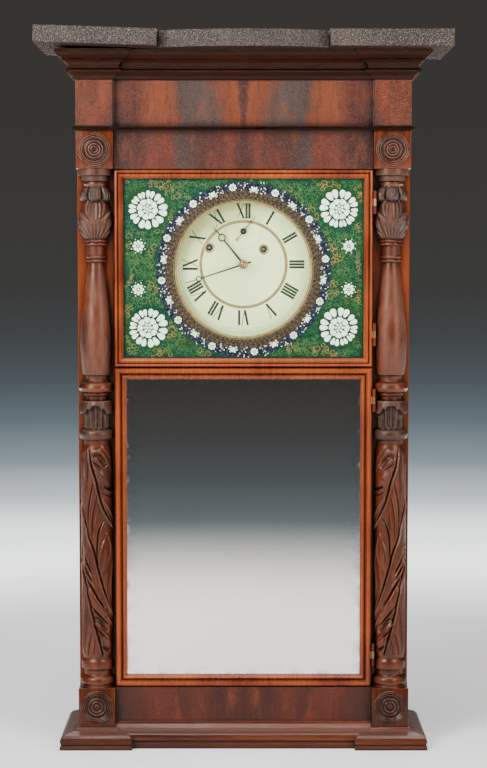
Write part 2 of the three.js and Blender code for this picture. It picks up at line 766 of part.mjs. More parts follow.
// Places of the arbors, from the dial centre
function meet(from, distanceFrom, to, distanceTo, hand) {
  const dx = to[0] - from[0];
  const dz = to[1] - from[1];
  const between = Math.hypot(dx, dz);
  const along = (distanceFrom ** 2 - distanceTo ** 2 + between ** 2) / (2 * between);
  const aside = hand * Math.sqrt(distanceFrom ** 2 - along ** 2);
  return [from[0] + (dx * along - dz * aside) / between, from[1] + (dz * along + dx * aside) / between];
}

function away(from, distance, degrees) {
  const angle = THREE.MathUtils.degToRad(degrees);
  return [from[0] + distance * Math.cos(angle), from[1] + distance * Math.sin(angle)];
}

const centreAt = [0, 0];
const timeAt = [timeWindAside, timeWindRise];
const strikeAt = [-strikeWindAside, strikeWindRise];
const escapeAt = [0, secondsArborUp];
const greatModule = 2 * Math.hypot(...timeAt) / (greatTeeth + pinionLeaves);
const thirdAt = meet(
  centreAt, trainModule * (centreTeeth + pinionLeaves) / 2,
  escapeAt, trainModule * (thirdTeeth + pinionLeaves) / 2, 1,
);
const pinAt = away(strikeAt, strikeModule * (strikeGreatTeeth + pinionLeaves) / 2, 75);
const lockAt = away(pinAt, pinWheelModule * (pinTeeth + lockLeaves) / 2, 60);
const flyAt = away(lockAt, lockModule * (lockTeeth + pinionLeaves) / 2, 110);
const upperReach = flyAt[1] + plateMargin;
const minuteAt = away(centreAt, motionModule * (cannonLeaves + minuteTeeth) / 2, -45);
const palletSpan = THREE.MathUtils.degToRad(30);
const vergeAt = [0, secondsArborUp + escapeRadius / Math.cos(palletSpan)];
const hammerAt = away(pinAt, strikePinRadius * 1.6, 170);
const leverAt = away(lockAt, flyRadius * 2.5, 160);
const pillarPlaces = [
  [-strikeSideReach + pillarRadius * 1.75, -lowerReach + pillarRadius * 1.75],
  [timeSideReach - pillarRadius * 1.75, -lowerReach + pillarRadius * 1.75],
  [timeSideReach - pillarRadius * 7, upperReach - pillarRadius * 2.5],
  [-strikeSideReach + pillarRadius * 6, upperReach - pillarRadius * 2.5],
];

// The turn that sets a pinion's gap on the line from a wheel whose tooth points along that line.
function meshTurn(from, to) {
  return -Math.atan2(to[1] - from[1], to[0] - from[0]);
}

function gapTurn(from, to, leaves) {
  return -(Math.atan2(from[1] - to[1], from[0] - to[0]) + Math.PI / leaves);
}

function placeAt(name, geometry, finish, at) {
  return addPiece(name, geometry, finish, at[0], dialCentreHeight + at[1]);
}

function turned(geometry, angle) {
  return geometry.rotateY(angle);
}

function drumParts() {
  const low = gapY + stepCentre;
  const high = low + drumLength;
  const collar = wheelThick;
  const great = gapY + stepGreat;
  const end = backPlateY - endShake;
  const drum = turnedAlongY(
    [
      [0, frontPlateY - plateThick], [windingRadius, frontPlateY - plateThick], [windingRadius, low - collar],
      [drumFlange, low - collar], [drumFlange, low], [drumRadius, low], [drumRadius, high], [drumFlange, high],
      [drumFlange, high + collar], [windingRadius, high + collar], [windingRadius, end], [pivotRadius, end],
      [pivotRadius, backPlateY + plateThick], [0, backPlateY + plateThick],
    ],
    drumSides,
  );
  const square = rodAlongY(windingRadius, dialY - plateThick / 2, frontPlateY, squareSides);
  const points = [];
  for (let i = 0; i < ratchetTeeth; i++) {
    const angle = (i / ratchetTeeth) * fullTurn;
    points.push([ratchetRadius * Math.cos(angle), ratchetRadius * Math.sin(angle)]);
    const root = ratchetRadius - windingRadius / 2;
    points.push([root * Math.cos(angle + 1 / ratchetTeeth), root * Math.sin(angle + 1 / ratchetTeeth)]);
  }
  const ratchet = plateBetween(shapeOf(points), great - endShake - wheelThick, great - endShake);
  return join(drum, square, ratchet);
}

function greatWheel(teeth, module, facing) {
  const low = gapY + stepGreat;
  const high = low + greatThick;
  const click = boxBetween(
    ratchetRadius + endShake, ratchetRadius + windingRadius * 2, low - wheelThick, low + glueLap,
    -windingRadius, windingRadius,
  );
  const wheel = join(turned(toothedWheel(teeth, module, low, high), facing), click);
  return cut(wheel, rodAlongY(windingRadius + runGap, low - wheelThick * 2, high + glueLap, drumSides));
}

function buildTimeTrain() {
  placeAt("time_great_wheel", greatWheel(greatTeeth, greatModule, meshTurn(timeAt, centreAt)), brass, timeAt);
  placeAt("time_drum", drumParts(), steel, timeAt);
  const greatY = gapY + stepGreat;
  const centreY = gapY + stepCentre;
  const thirdY = gapY + stepThird;
  const escapeY = gapY + stepEscape;
  const lead = (pinionLength - wheelThick) / 2;
  placeAt(
    "centre_wheel",
    join(
      arborBetweenPlates(frontPlateY - plateThick * 3, arborRadius),
      turned(toothedWheel(centreTeeth, trainModule, centreY, centreY + wheelThick), meshTurn(centreAt, thirdAt)),
      turned(
        plainPinion(pinionLeaves, greatModule, greatY - lead, greatY + greatThick + lead),
        gapTurn(timeAt, centreAt, pinionLeaves),
      ),
    ),
    brass,
    centreAt,
  );
  placeAt(
    "third_wheel",
    join(
      arborBetweenPlates(),
      turned(toothedWheel(thirdTeeth, trainModule, thirdY, thirdY + wheelThick), meshTurn(thirdAt, escapeAt)),
      turned(
        plainPinion(pinionLeaves, trainModule, centreY - lead, centreY + wheelThick + lead),
        gapTurn(centreAt, thirdAt, pinionLeaves),
      ),
    ),
    brass,
    thirdAt,
  );
  const points = [];
  const rootRadius = escapeRadius - escapeToothDepth;
  for (let i = 0; i < escapeTeeth; i++) {
    const toothShares = [[rootRadius, 0], [escapeRadius, escapeTipShare]];
    for (const [radius, offset] of toothShares) {
      const angle = ((i + offset) / escapeTeeth) * fullTurn;
      points.push([radius * Math.cos(angle), radius * Math.sin(angle)]);
    }
  }
  placeAt(
    "escape_wheel",
    join(
      arborBetweenPlates(dialY - plateThick * 1.5, pivotRadius + runGap / 2),
      plateBetween(shapeOf(points), escapeY, escapeY + wheelThick),
      turned(
        plainPinion(pinionLeaves, trainModule, thirdY - lead, thirdY + wheelThick + lead),
        gapTurn(thirdAt, escapeAt, pinionLeaves),
      ),
    ),
    brass,
    escapeAt,
  );
}

// Anchor outline about its pivot: shares of the pallet reach across and up.
const anchorShares = [
  [-1.1, -0.92], [-0.95, -0.74], [-0.52, -0.1], [0.52, -0.1], [0.95, -0.74], [1.1, -0.92], [0.82, 0.3],
  [0.28, 0.6], [-0.28, 0.6], [-0.82, 0.3],
];

function buildEscapement() {
  const across = escapeRadius * Math.sin(palletSpan) + palletClear / 2;
  const down = vergeAt[1] - secondsArborUp - (escapeRadius + palletClear) * Math.cos(palletSpan);
  const anchorY = gapY + stepEscape;
  const rodY = faceY + pendulumSetback;
  const crutchY = rodY - pinionLength;
  const outline = anchorShares.map(([x, z]) => [x * across, z * down]);
  const prong = rodRadius + runGap;
  const foot = -crutchLength;
  placeAt(
    "verge",
    join(
      turnedAlongY(
        [
          [0, frontPlateY], [pivotRadius, frontPlateY], [pivotRadius, gapY + endShake],
          [arborRadius, gapY + endShake], [arborRadius, crutchY], [0, crutchY],
        ],
        arborSides,
      ),
      plateBetween(shapeOf(outline), anchorY, anchorY + wheelThick),
      boxBetween(-pivotRadius, pivotRadius, crutchY - wheelThick, crutchY, foot, glueLap),
      boxBetween(-prong - wheelThick, -prong, crutchY - wheelThick, rodY + rodRadius, foot, foot + pinionLength),
      boxBetween(prong, prong + wheelThick, crutchY - wheelThick, rodY + rodRadius, foot, foot + pinionLength),
      boxBetween(-prong - wheelThick, prong + wheelThick, crutchY - wheelThick, crutchY, foot, foot + pinionLength),
    ),
    steel,
    vergeAt,
  );
  const bobZ = -pendulumLength;
  const nutTop = bobZ - bobRadius - seatGap;
  const rod = join(
    rodAlongZ(rodRadius, nutTop - pinionLength * 3, pinionLength),
    rodAlongZ(pinionLength, nutTop - pinionLength, nutTop),
  ).translate(0, rodY, 0);
  placeAt("pendulum_rod", rod, brass, vergeAt);
  const half = bobThick / 2;
  const lens = turnedAlongY(
    [
      [0, rodY - half], [bobRadius / 2, rodY - half * 0.8], [bobRadius * 0.85, rodY - half / 2],
      [bobRadius, rodY - half / 8], [bobRadius, rodY + half / 8], [bobRadius * 0.85, rodY + half / 2],
      [bobRadius / 2, rodY + half * 0.8], [0, rodY + half],
    ],
    roundSides,
  ).translate(0, 0, bobZ);
  const bore = rodAlongZ(rodRadius + runGap, bobZ - bobRadius - glueLap, bobZ + bobRadius + glueLap)
    .translate(0, rodY, 0);
  placeAt("pendulum_bob", cut(lens, bore), brass, vergeAt);
}

// Motion work between the front plate and the dial
function buildMotionWork() {
  const cannonY = frontPlateY - plateThick * 3;
  const hourY = cannonY - pinionLength * 1.2;
  const pipe = pivotRadius + arborRadius + runGap;
  const hourBore = pipe + runGap;
  const hourPipe = hourBore + 1 * arborRadius;
  const hourHandY = dialY - dialThick * 2.7;
  const minuteHandY = hourHandY - handThick * 2.6;
  const hubY = minuteHandY - seatGap - hubThick;
  const boreDepth = plateThick * 2;
  const cannon = cut(
    join(
      turnedAlongY(
        [
          [0, hubY], [hubRadius * 0.75, hubY], [hubRadius, hubY + hubThick / 3], [hubRadius, hubY + hubThick],
          [pipe, hubY + hubThick], [pipe, frontPlateY - seatGap], [0, frontPlateY - seatGap],
        ],
        drumSides,
      ),
      turned(
        plainPinion(cannonLeaves, motionModule, cannonY, cannonY + pinionLength / 1.5),
        gapTurn(minuteAt, centreAt, cannonLeaves),
      ),
    ),
    rodAlongY(arborRadius + runGap, cannonY - boreDepth / 4, frontPlateY, smallSides),
  );
  placeAt("cannon_pinion", cannon, brass, centreAt);
  const hour = cut(
    join(
      turned(toothedWheel(hourTeeth, motionModule, hourY, hourY + wheelThick), meshTurn(centreAt, minuteAt)),
      rodAlongY(hourPipe, hourHandY - seatGap, hourY + wheelThick, drumSides),
    ),
    rodAlongY(hourBore, hourHandY - glueLap, hourY + wheelThick + glueLap, drumSides),
  );
  placeAt("hour_wheel", hour, brass, centreAt);
  const minute = cut(
    join(
      turned(
        toothedWheel(minuteTeeth, motionModule, cannonY + seatGap, cannonY + seatGap + wheelThick),
        meshTurn(minuteAt, centreAt),
      ),
      turned(
        plainPinion(minuteLeaves, motionModule, hourY - pinionLength / 3, cannonY + seatGap + glueLap),
        gapTurn(centreAt, minuteAt, minuteLeaves),
      ),
    ),
    rodAlongY(pivotRadius + runGap, hourY - pinionLength, frontPlateY, smallSides),
  );
  placeAt("minute_wheel", minute, brass, minuteAt);
  buildHands(hourHandY, minuteHandY, hourPipe, pipe);
}

// A blued hand: a ring round its arbor, a tapering blade, a ring along the blade and a tail.
function handShape(form, y0) {
  const y1 = y0 + form.thick;
  const circle = (radius) => Array.from({ length: drumSides }, (_, i) => {
    const angle = (i / drumSides) * fullTurn;
    return new THREE.Vector2(radius * Math.cos(angle), radius * Math.sin(angle));
  });
  const annulus = (outer, inner, at) => {
    const ring = new THREE.Shape(circle(outer));
    if (inner > 0) ring.holes.push(new THREE.Path(circle(inner)));
    return plateBetween(ring, y0, y1).translate(0, 0, at);
  };
  const blade = plateBetween(
    shapeOf([
      [-form.root / 2, form.hub * 0.9], [form.root / 2, form.hub * 0.9],
      [form.tip / 2, form.length - form.root], [0, form.length], [-form.tip / 2, form.length - form.root],
    ]),
    y0, y1,
  );
  const pieces = [blade, annulus(form.hub, form.bore, 0), annulus(form.ring, 0, form.ringAt)];
  if (form.tail > 0) {
    pieces.push(
      plateBetween(
        shapeOf([
          [-form.root / 2, -form.tail], [form.root / 2, -form.tail], [form.root / 2, -form.hub * 0.9],
          [-form.root / 2, -form.hub * 0.9],
        ]),
        y0, y1,
      ),
    );
  }
  if (form.tailRing > 0) pieces.push(annulus(form.tailRing, form.tailRing / 2, -form.tail - form.tailRing / 2));
  const ringHole = form.ringInner > 0
    ? [rodAlongY(form.ringInner, y0 - glueLap, y1 + glueLap, smallSides).translate(0, 0, form.ringAt)]
    : [];
  return ringHole.length ? cut(join(...pieces), ...ringHole) : join(...pieces);
}

function buildHands(hourY, minuteY, hourPipe, pipe) {
  const hour = {
    thick: handThick, length: hourHandLength, hub: hubRadius, bore: hourPipe + runGap, root: handThick * 3.2,
    tip: handThick * 1.4, ring: hubRadius * 0.88, ringInner: hubRadius * 0.6, ringAt: hourHandLength * 0.7,
    tail: 0, tailRing: 0,
  };
  const minute = {
    thick: handThick, length: minuteHandLength, hub: hubRadius * 0.9, bore: pipe + runGap,
    root: handThick * 2.6, tip: handThick * 1.2, ring: hubRadius * 0.66, ringInner: hubRadius * 0.42,
    ringAt: minuteHandLength * 0.76, tail: hubRadius * 1.7, tailRing: 0,
  };
  const secondBore = pivotRadius + runGap / 2 + runGap;
  const seconds = {
    thick: handThick * 0.8, length: secondsHandLength, hub: hubRadius * 0.74, bore: secondBore,
    root: handThick * 1.1, tip: handThick * 0.8, ring: handThick, ringInner: 0,
    ringAt: secondsHandLength * 0.3, tail: secondsHandLength * 0.5, tailRing: handThick * 2,
  };
  const secondsY = dialY - dialThick * 1.3;
  const placed = [
    ["hour_hand", hour, hourY, centreAt, hourHandAngle],
    ["minute_hand", minute, minuteY, centreAt, minuteHandAngle],
    ["seconds_hand", seconds, secondsY, escapeAt, secondsHandAngle],
  ];
  for (const [name, form, y, at, angle] of placed) {
    placeAt(name, handShape(form, y), blueSteel, at).rotation.y = angle;
  }
}

function buildDial() {
  const half = innerHalf - dialEdgeGap;
  const low = doorMeeting + divisionHeight / 2 + seatGap;
  const hole = (radius, at, sides) =>
    rodAlongY(radius, dialY - glueLap, dialY + dialThick + glueLap, sides)
      .translate(at[0], 0, dialCentreHeight + at[1]);
  const dial = cut(
    boxBetween(-half, half, dialY, dialY + dialThick, low, upperDoorHigh),
    hole(dialHole, centreAt, roundSides),
    hole(windingHole, timeAt, roundSides),
    hole(windingHole, strikeAt, roundSides),
    hole(secondsHole, escapeAt, smallSides),
  );
  addPiece("dial_plate", dial, dialPaint);
}

// Strike train
function buildStrikeTrain() {
  const greatY = gapY + stepGreat;
  const pinY = gapY + stepPin;
  const lockY = gapY + stepLock;
  const lead = (pinionLength - wheelThick) / 2;
  const rim = [];
  let blows = 0;
  for (let hour = 1; hour <= 12; hour++) {
    const from = (blows / strikeGreatTeeth) * fullTurn;
    blows += hour;
    const to = (blows / strikeGreatTeeth) * fullTurn;
    const slot = slotWidth / countRadius;
    const steps = Math.ceil(hour / 4);
    for (let i = 0; i <= steps; i++) {
      const angle = from + slot + ((to - from - slot) * i) / steps;
      rim.push([countRadius * Math.cos(angle), countRadius * Math.sin(angle)]);
    }
    const floor = countRadius - countSlotDepth;
    rim.push([floor * Math.cos(to), floor * Math.sin(to)], [floor * Math.cos(to + slot), floor * Math.sin(to + slot)]);
  }
  const countY = gapY + stepCountWheel;
  const count = plateBetween(shapeOf(rim), countY, countY + wheelThick);
  const hub = rodAlongY(windingRadius * 2, greatY + glueLap, countY + glueLap, smallSides);
  const great = cut(
    join(greatWheel(strikeGreatTeeth, strikeModule, meshTurn(strikeAt, pinAt)), count, hub),
    rodAlongY(windingRadius + runGap, greatY - wheelThick * 2, backPlateY, drumSides),
  );
  placeAt("strike_great_wheel", great, brass, strikeAt);
  placeAt("strike_drum", drumParts(), steel, strikeAt);
  const pins = Array.from({ length: strikePins }, (_, i) =>
    rodAlongY(pivotRadius, pinY + wheelThick / 2, pinY + pinionLength + wheelThick)
      .translate(strikePinRadius, 0, 0).rotateY((i + 0.5) / strikePins * fullTurn),
  );
  placeAt(
    "pin_wheel",
    join(
      arborBetweenPlates(),
      turned(toothedWheel(pinTeeth, pinWheelModule, pinY, pinY + wheelThick, 0), meshTurn(pinAt, lockAt)),
      turned(
        plainPinion(pinionLeaves, strikeModule, greatY - lead, greatY + greatThick + lead),
        gapTurn(strikeAt, pinAt, pinionLeaves),
      ),
      ...pins,
    ),
    brass,
    pinAt,
  );
  placeAt(
    "locking_wheel",
    join(
      arborBetweenPlates(),
      turned(toothedWheel(lockTeeth, lockModule, lockY, lockY + wheelThick), meshTurn(lockAt, flyAt)),
      turned(
        plainPinion(lockLeaves, pinWheelModule, pinY - lead, pinY + wheelThick + lead),
        gapTurn(pinAt, lockAt, lockLeaves),
      ),
      rodAlongY(pivotRadius, lockY + wheelThick / 2, lockY + wheelThick + plateThick)
        .translate(-(lockTeeth / 2 - wheelRootShare * 1.8) * lockModule, 0, 0),
    ),
    brass,
    lockAt,
  );
  const flyY = gapY + stepFly;
  placeAt(
    "fly",
    join(
      arborBetweenPlates(),
      turned(
        plainPinion(pinionLeaves, lockModule, lockY - lead, lockY + wheelThick + lead),
        gapTurn(lockAt, flyAt, pinionLeaves),
      ),
      boxBetween(-flyRadius, flyRadius, flyY, flyY + flyDepth, -pivotRadius / 2, pivotRadius / 2),
    ),
    brass,
    flyAt,
  );
}

function barBetween(from, to, width, y0, y1) {
  const dx = to[0] - from[0];
  const dz = to[1] - from[1];
  const half = width / 2 / Math.hypot(dx, dz);
  const [nx, nz] = [-dz * half, dx * half];
  return plateBetween(
    shapeOf([
      [from[0] - nx, from[1] - nz], [to[0] - nx, to[1] - nz], [to[0] + nx, to[1] + nz], [from[0] + nx, from[1] + nz],
    ]),
    y0, y1,
  );
}

// The point short of a wheel's rim, seen from an arm's own pivot.
function shortOf(pivot, wheelAt, radius) {
  const dx = wheelAt[0] - pivot[0];
  const dz = wheelAt[1] - pivot[1];
  const share = 1 - radius / Math.hypot(dx, dz);
  return [dx * share, dz * share];
}

function buildStrikeLevers() {
  const countY = gapY + stepCountWheel;
  const lockY = gapY + stepLock + wheelThick + endShake;
  const width = arborRadius * 2;
  const lockReach = (lockTeeth / 2 + wheelTipShare) * lockModule + endShake;
  placeAt(
    "count_lever",
    join(
      arborBetweenPlates(),
      barBetween([0, 0], shortOf(leverAt, strikeAt, countRadius + endShake), width, countY, countY + wheelThick),
      barBetween([0, 0], shortOf(leverAt, lockAt, lockReach), width, lockY, lockY + wheelThick),
    ),
    steel,
    leverAt,
  );
  const bellZ = -bellDrop - hammerAt[1];
  const headX = -bellAside - bellRadius - hammerRest - hammerAt[0];
  const rodY = gapY + stepHammer;
  const tailY = gapY + stepPin + wheelThick + arborRadius;
  const tail = shortOf(hammerAt, pinAt, strikePinRadius + pivotRadius + endShake);
  const head = rodAlongZ(hammerHeadRadius, -hammerHeadLength, 0).rotateY(quarterTurn);
  placeAt(
    "hammer",
    join(
      arborBetweenPlates(),
      barBetween([0, 0], tail, width, tailY, tailY + wheelThick),
      rodBetween(
        new THREE.Vector3(0, rodY, 0), new THREE.Vector3(headX - hammerHeadLength / 2, rodY, bellZ), arborRadius,
      ),
      head.translate(headX, rodY, bellZ),
    ),
    steel,
    hammerAt,
  );
  const rimY = rodY - bellWall;
  const crownY = rimY + bellDepth;
  const bell = turnedAlongY(
    [
      [0, crownY - bellWall], [bellRadius * 0.6, crownY - bellWall * 2.2], [bellRadius * 0.86, rimY + bellDepth * 0.45],
      [bellRadius - bellWall, rimY], [bellRadius, rimY], [bellRadius * 0.92, rimY + bellDepth * 0.5],
      [bellRadius * 0.64, crownY - bellWall * 0.8], [bellRadius * 0.16, crownY], [bellRadius * 0.1, crownY],
      [bellRadius * 0.1, boardY], [0, boardY],
    ],
    roundSides,
  );
  placeAt("bell", bell, brass, [-bellAside, -bellDrop]);
}

function buildPlates() {
  const arbors = [thirdAt, escapeAt, vergeAt, pinAt, lockAt, flyAt, hammerAt, leverAt, centreAt];
  const outline = shapeOf([
    [-strikeSideReach, -lowerReach], [timeSideReach, -lowerReach], [timeSideReach, upperReach], [-strikeSideReach, upperReach],
  ]);
  const drill = (radius, at, y) =>
    rodAlongY(radius, y - glueLap, y + plateThick + glueLap).translate(at[0], 0, at[1]);
  const frontHoles = arbors.map((at) => drill(at === centreAt ? arborRadius + runGap * 1.5 : pivotHole, at, frontPlateY));
  const windingHoles = [timeAt, strikeAt].map((at) => drill(windingRadius + runGap * 1.5, at, frontPlateY));
  const stud = rodAlongY(pivotRadius, frontPlateY - pinionLength * 3, frontPlateY + glueLap)
    .translate(minuteAt[0], 0, minuteAt[1]);
  const front = join(
    cut(plateBetween(outline, frontPlateY, gapY), ...frontHoles, ...windingHoles),
    stud,
  );
  placeAt("front_plate", front, brass, centreAt);
  const backHoles = [...arbors, timeAt, strikeAt].map((at) =>
    drill(at === vergeAt ? arborRadius + runGap * 1.5 : pivotHole, at, backPlateY));
  const pillars = pillarPlaces.map(([x, z]) =>
    rodAlongY(pillarRadius, gapY, backPlateY + glueLap, smallSides).translate(x, 0, z));
  const cockZ = vergeAt[1] + pinionLength + runGap;
  const cock = boxBetween(
    -pillarRadius, pillarRadius, backPlateY + glueLap, faceY + pendulumSetback + pillarRadius,
    cockZ, cockZ + pillarRadius,
  );
  const back = join(
    cut(plateBetween(outline, backPlateY, backPlateY + plateThick), ...backHoles),
    ...pillars,
    cock,
  );
  placeAt("back_plate", back, brass, centreAt);
}

// A route through given points, one step from each point to the next.
class Route extends THREE.Curve {
  constructor(points) {
    super();
    this.points = points;
  }

  getPoint(share) {
    const place = Math.min(share, 1) * (this.points.length - 1);
    const index = Math.min(Math.floor(place), this.points.length - 2);
    return this.points[index].clone().lerp(this.points[index + 1], place - index);
  }

  getPointAt(share) {
    return this.getPoint(share);
  }

  getTangentAt(share) {
    return this.getTangent(share);
  }
}

function buildWeights() {
  const cordY = gapY + stepCord;
  const section = new THREE.Shape(
    Array.from({ length: smallSides }, (_, i) => {
      const angle = (i / smallSides) * fullTurn;
      return new THREE.Vector2(cordRadius * Math.cos(angle), cordRadius * Math.sin(angle));
    }),
  );
  const hookTop = floorThick + weightFloorGap + weightHeight + weightLoop * 2 + weightLoopWire / 2;
  for (const [side, word, at] of [[-1, "strike", strikeAt], [1, "time", timeAt]]) {
    const pulley = pulleyAt(side);
    const drum = { x: at[0], z: dialCentreHeight + at[1] };
    const wrap = drumRadius + cordRadius;
    const dx = pulley.x - drum.x;
    const dz = pulley.z - drum.z;
    const offset = Math.acos((wrap + pulleyRadius) / Math.hypot(dx, dz));
    const normal = Math.atan2(dz, dx) - side * offset;
    const start = new THREE.Vector3(drum.x + wrap * Math.cos(normal), cordY, drum.z + wrap * Math.sin(normal));
    const over = normal + side * Math.PI;
    const end = side > 0 ? 0 : Math.PI;
    const points = [start];
    const arcSteps = smallSides;
    for (let i = 0; i <= arcSteps; i++) {
      const angle = over + ((end - over) * i) / arcSteps;
      points.push(new THREE.Vector3(
        pulley.x + pulleyRadius * Math.cos(angle), cordY, pulley.z + pulleyRadius * Math.sin(angle),
      ));
    }
    const fallTop = pulley.z - pulleyRadius;
    points.push(new THREE.Vector3(side * weightX, cordY, fallTop));
    const run = new THREE.ExtrudeGeometry(section, {
      steps: points.length - 1, bevelEnabled: false, extrudePath: new Route(points),
    });
    addPiece(`${word}_cord_run`, run, cordBrown);
    const fall = rodAlongZ(cordRadius, hookTop + seatGap, fallTop - seatGap).translate(side * weightX, cordY, 0);
    addPiece(`${word}_cord_fall`, fall, cordBrown);
    const half = pulleyThick / 2;
    const groove = pulleyRadius - cordRadius - seatGap;
    const wheel = cut(
      turnedAlongY(
        [
          [0, -half], [pulleyFlange, -half], [pulleyFlange, -half * 0.7], [groove, -cordRadius * 1.4],
          [groove, cordRadius * 1.4], [pulleyFlange, half * 0.7], [pulleyFlange, half], [0, half],
        ],
        roundSides,
      ),
      rodAlongY(pulleyAxle + runGap, -half - glueLap, half + glueLap, smallSides),
    ).translate(0, cordY, 0);
    addPiece(`${word}_pulley`, wheel, brass, pulley.x, pulley.z);
    const bottom = floorThick + weightFloorGap;
    const top = bottom + weightHeight;
    const body = turnedAlongY(
      [
        [0, bottom], [weightRadius * 0.94, bottom], [weightRadius, bottom + weightLoop],
        [weightRadius, top - weightLoop], [weightRadius * 0.9, top], [0, top],
      ],
      smallSides * 2,
    ).rotateX(quarterTurn);
    const loop = new THREE.TorusGeometry(weightLoop, weightLoopWire, arborSides, smallSides)
      .rotateX(quarterTurn).translate(0, 0, top + weightLoop - weightLoopWire / 2);
    addPiece(`${word}_weight`, join(body, loop).translate(0, cordY, 0), iron, side * weightX);
  }
}

buildCarcass();
buildTopBoard();
buildStiles();
buildBlocks();
buildColumns();
buildFrieze();
buildMouldings();
buildSlabs();
buildDoors();
buildDial();
buildPlates();
buildTimeTrain();
buildEscapement();
buildMotionWork();
buildStrikeTrain();
buildStrikeLevers();
buildWeights();

export default group;
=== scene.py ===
import json
import math
import random

import bmesh
import bpy
import numpy as np
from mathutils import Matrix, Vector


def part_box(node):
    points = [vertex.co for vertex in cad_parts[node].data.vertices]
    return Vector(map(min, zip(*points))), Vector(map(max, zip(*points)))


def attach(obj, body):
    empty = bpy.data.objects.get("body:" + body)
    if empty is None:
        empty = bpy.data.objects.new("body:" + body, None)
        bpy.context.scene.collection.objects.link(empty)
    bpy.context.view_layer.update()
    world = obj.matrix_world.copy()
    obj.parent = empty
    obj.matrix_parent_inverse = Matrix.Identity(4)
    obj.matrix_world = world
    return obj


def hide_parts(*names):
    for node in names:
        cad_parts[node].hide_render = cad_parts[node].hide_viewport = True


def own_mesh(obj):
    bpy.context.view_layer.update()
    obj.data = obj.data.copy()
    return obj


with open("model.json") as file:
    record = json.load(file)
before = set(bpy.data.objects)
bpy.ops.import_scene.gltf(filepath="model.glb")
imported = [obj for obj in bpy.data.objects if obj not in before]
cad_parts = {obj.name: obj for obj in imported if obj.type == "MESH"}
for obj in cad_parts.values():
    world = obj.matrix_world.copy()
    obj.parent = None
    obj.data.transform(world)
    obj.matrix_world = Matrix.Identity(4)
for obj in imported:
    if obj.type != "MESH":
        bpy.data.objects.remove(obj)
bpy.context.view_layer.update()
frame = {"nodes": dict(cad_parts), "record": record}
cadNodes = frame["nodes"]
mm = 0.001
tau = 2 * math.pi
print("frame loaded:", len(cadNodes), "nodes")


# Mesh making: points in metres, faces as lists of point numbers

def makePiece(name, shape, finish, body, smooth=True, creaseDegrees=35, carve=None):
    mesh = bpy.data.meshes.new(name)
    mesh.from_pydata([tuple(map(float, p)) for p in shape.points], [],
                     [tuple(map(int, f)) for f in shape.faces])
    if carve is not None:
        # 0 in hollows, 1 on ridges: painted shade in the hollows, wear and painted highlight on the ridges
        layer = mesh.attributes.new("carve", "FLOAT", "POINT")
        layer.data.foreach_set("value", np.array(carve, np.float32))
    mesh.validate()
    tidy = bmesh.new()
    tidy.from_mesh(mesh)
    bmesh.ops.remove_doubles(tidy, verts=tidy.verts, dist=1e-7)
    bmesh.ops.recalc_face_normals(tidy, faces=tidy.faces)
    for edge in tidy.edges:
        sharp = len(edge.link_faces) == 2 and edge.calc_face_angle(0) > math.radians(creaseDegrees)
        edge.smooth = not sharp
    for face in tidy.faces:
        face.smooth = smooth
    tidy.to_mesh(mesh)
    tidy.free()
    piece = bpy.data.objects.new(name, mesh)
    bpy.context.collection.objects.link(piece)
    mesh.materials.append(finish)
    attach(piece, body)
    return piece


def paintedPiece(name, shape, finish, smooth=False):
    return makePiece(name, shape, finish, "upper_door", smooth)


class Shape:
    # gathers points and faces of one piece

    def __init__(self):
        self.points = []
        self.faces = []

    def add(self, points, faces):
        start = len(self.points)
        self.points.extend(points)
        self.faces.extend([[start + i for i in face] for face in faces])

    def grid(self, rows, closedAcross=False, closedAlong=False):
        # rows of points, joined into quads
        across = len(rows[0])
        along = len(rows)
        faces = []
        for j in range(along if closedAlong else along - 1):
            for i in range(across if closedAcross else across - 1):
                a, b = j * across + i, j * across + (i + 1) % across
                c = ((j + 1) % along) * across
                faces.append([a, b, c + (i + 1) % across, c + i])
        self.add([p for row in rows for p in row], faces)

    def plate(self, outline, front, back):
        # closed outline of (x, z), between two depths
        n = len(outline)
        points = [(x, front, z) for x, z in outline] + [(x, back, z) for x, z in outline]
        faces = [list(range(n)), [n + i for i in reversed(range(n))]]
        faces += [[i, n + i, n + (i + 1) % n, (i + 1) % n] for i in range(n)]
        self.add(points, faces)

    def lathe(self, centre, profile, steps):
        # turned along Y; profile of (radius, offset along the axis)
        turns = [i / steps * tau for i in range(steps)]
        x, y, z = centre
        rows = [[(x + radius * math.cos(turn), y + offset, z + radius * math.sin(turn)) for turn in turns]
                for radius, offset in profile]
        self.grid(rows, closedAcross=True)

    def ribbon(self, path, width, depth, thick):
        # a line of paint along a path of (x, z), in mm, proud in its middle; width may be a list
        points = np.array(path, float) * mm
        ahead = np.gradient(points, axis=0)
        ahead /= np.maximum(np.linalg.norm(ahead, axis=1, keepdims=True), 1e-9)
        side = np.stack([-ahead[:, 1], ahead[:, 0]], axis=1)
        half = np.broadcast_to(np.asarray(width, float) * mm, (len(points),))[:, None] / 2
        edge, crest = depth * mm, depth * mm - thick * mm
        self.grid([[(x, y, z) for x, z in line] for line, y in
                   ((points + side * half, edge), (points, crest), (points - side * half, edge))])


def circlePath(radius, centre, steps):
    turns = [tau * i / steps for i in range(steps + 1)]
    return [(centre[0] + radius * math.sin(t), centre[1] + radius * math.cos(t)) for t in turns]


# Finishes: one class that strings shader nodes together

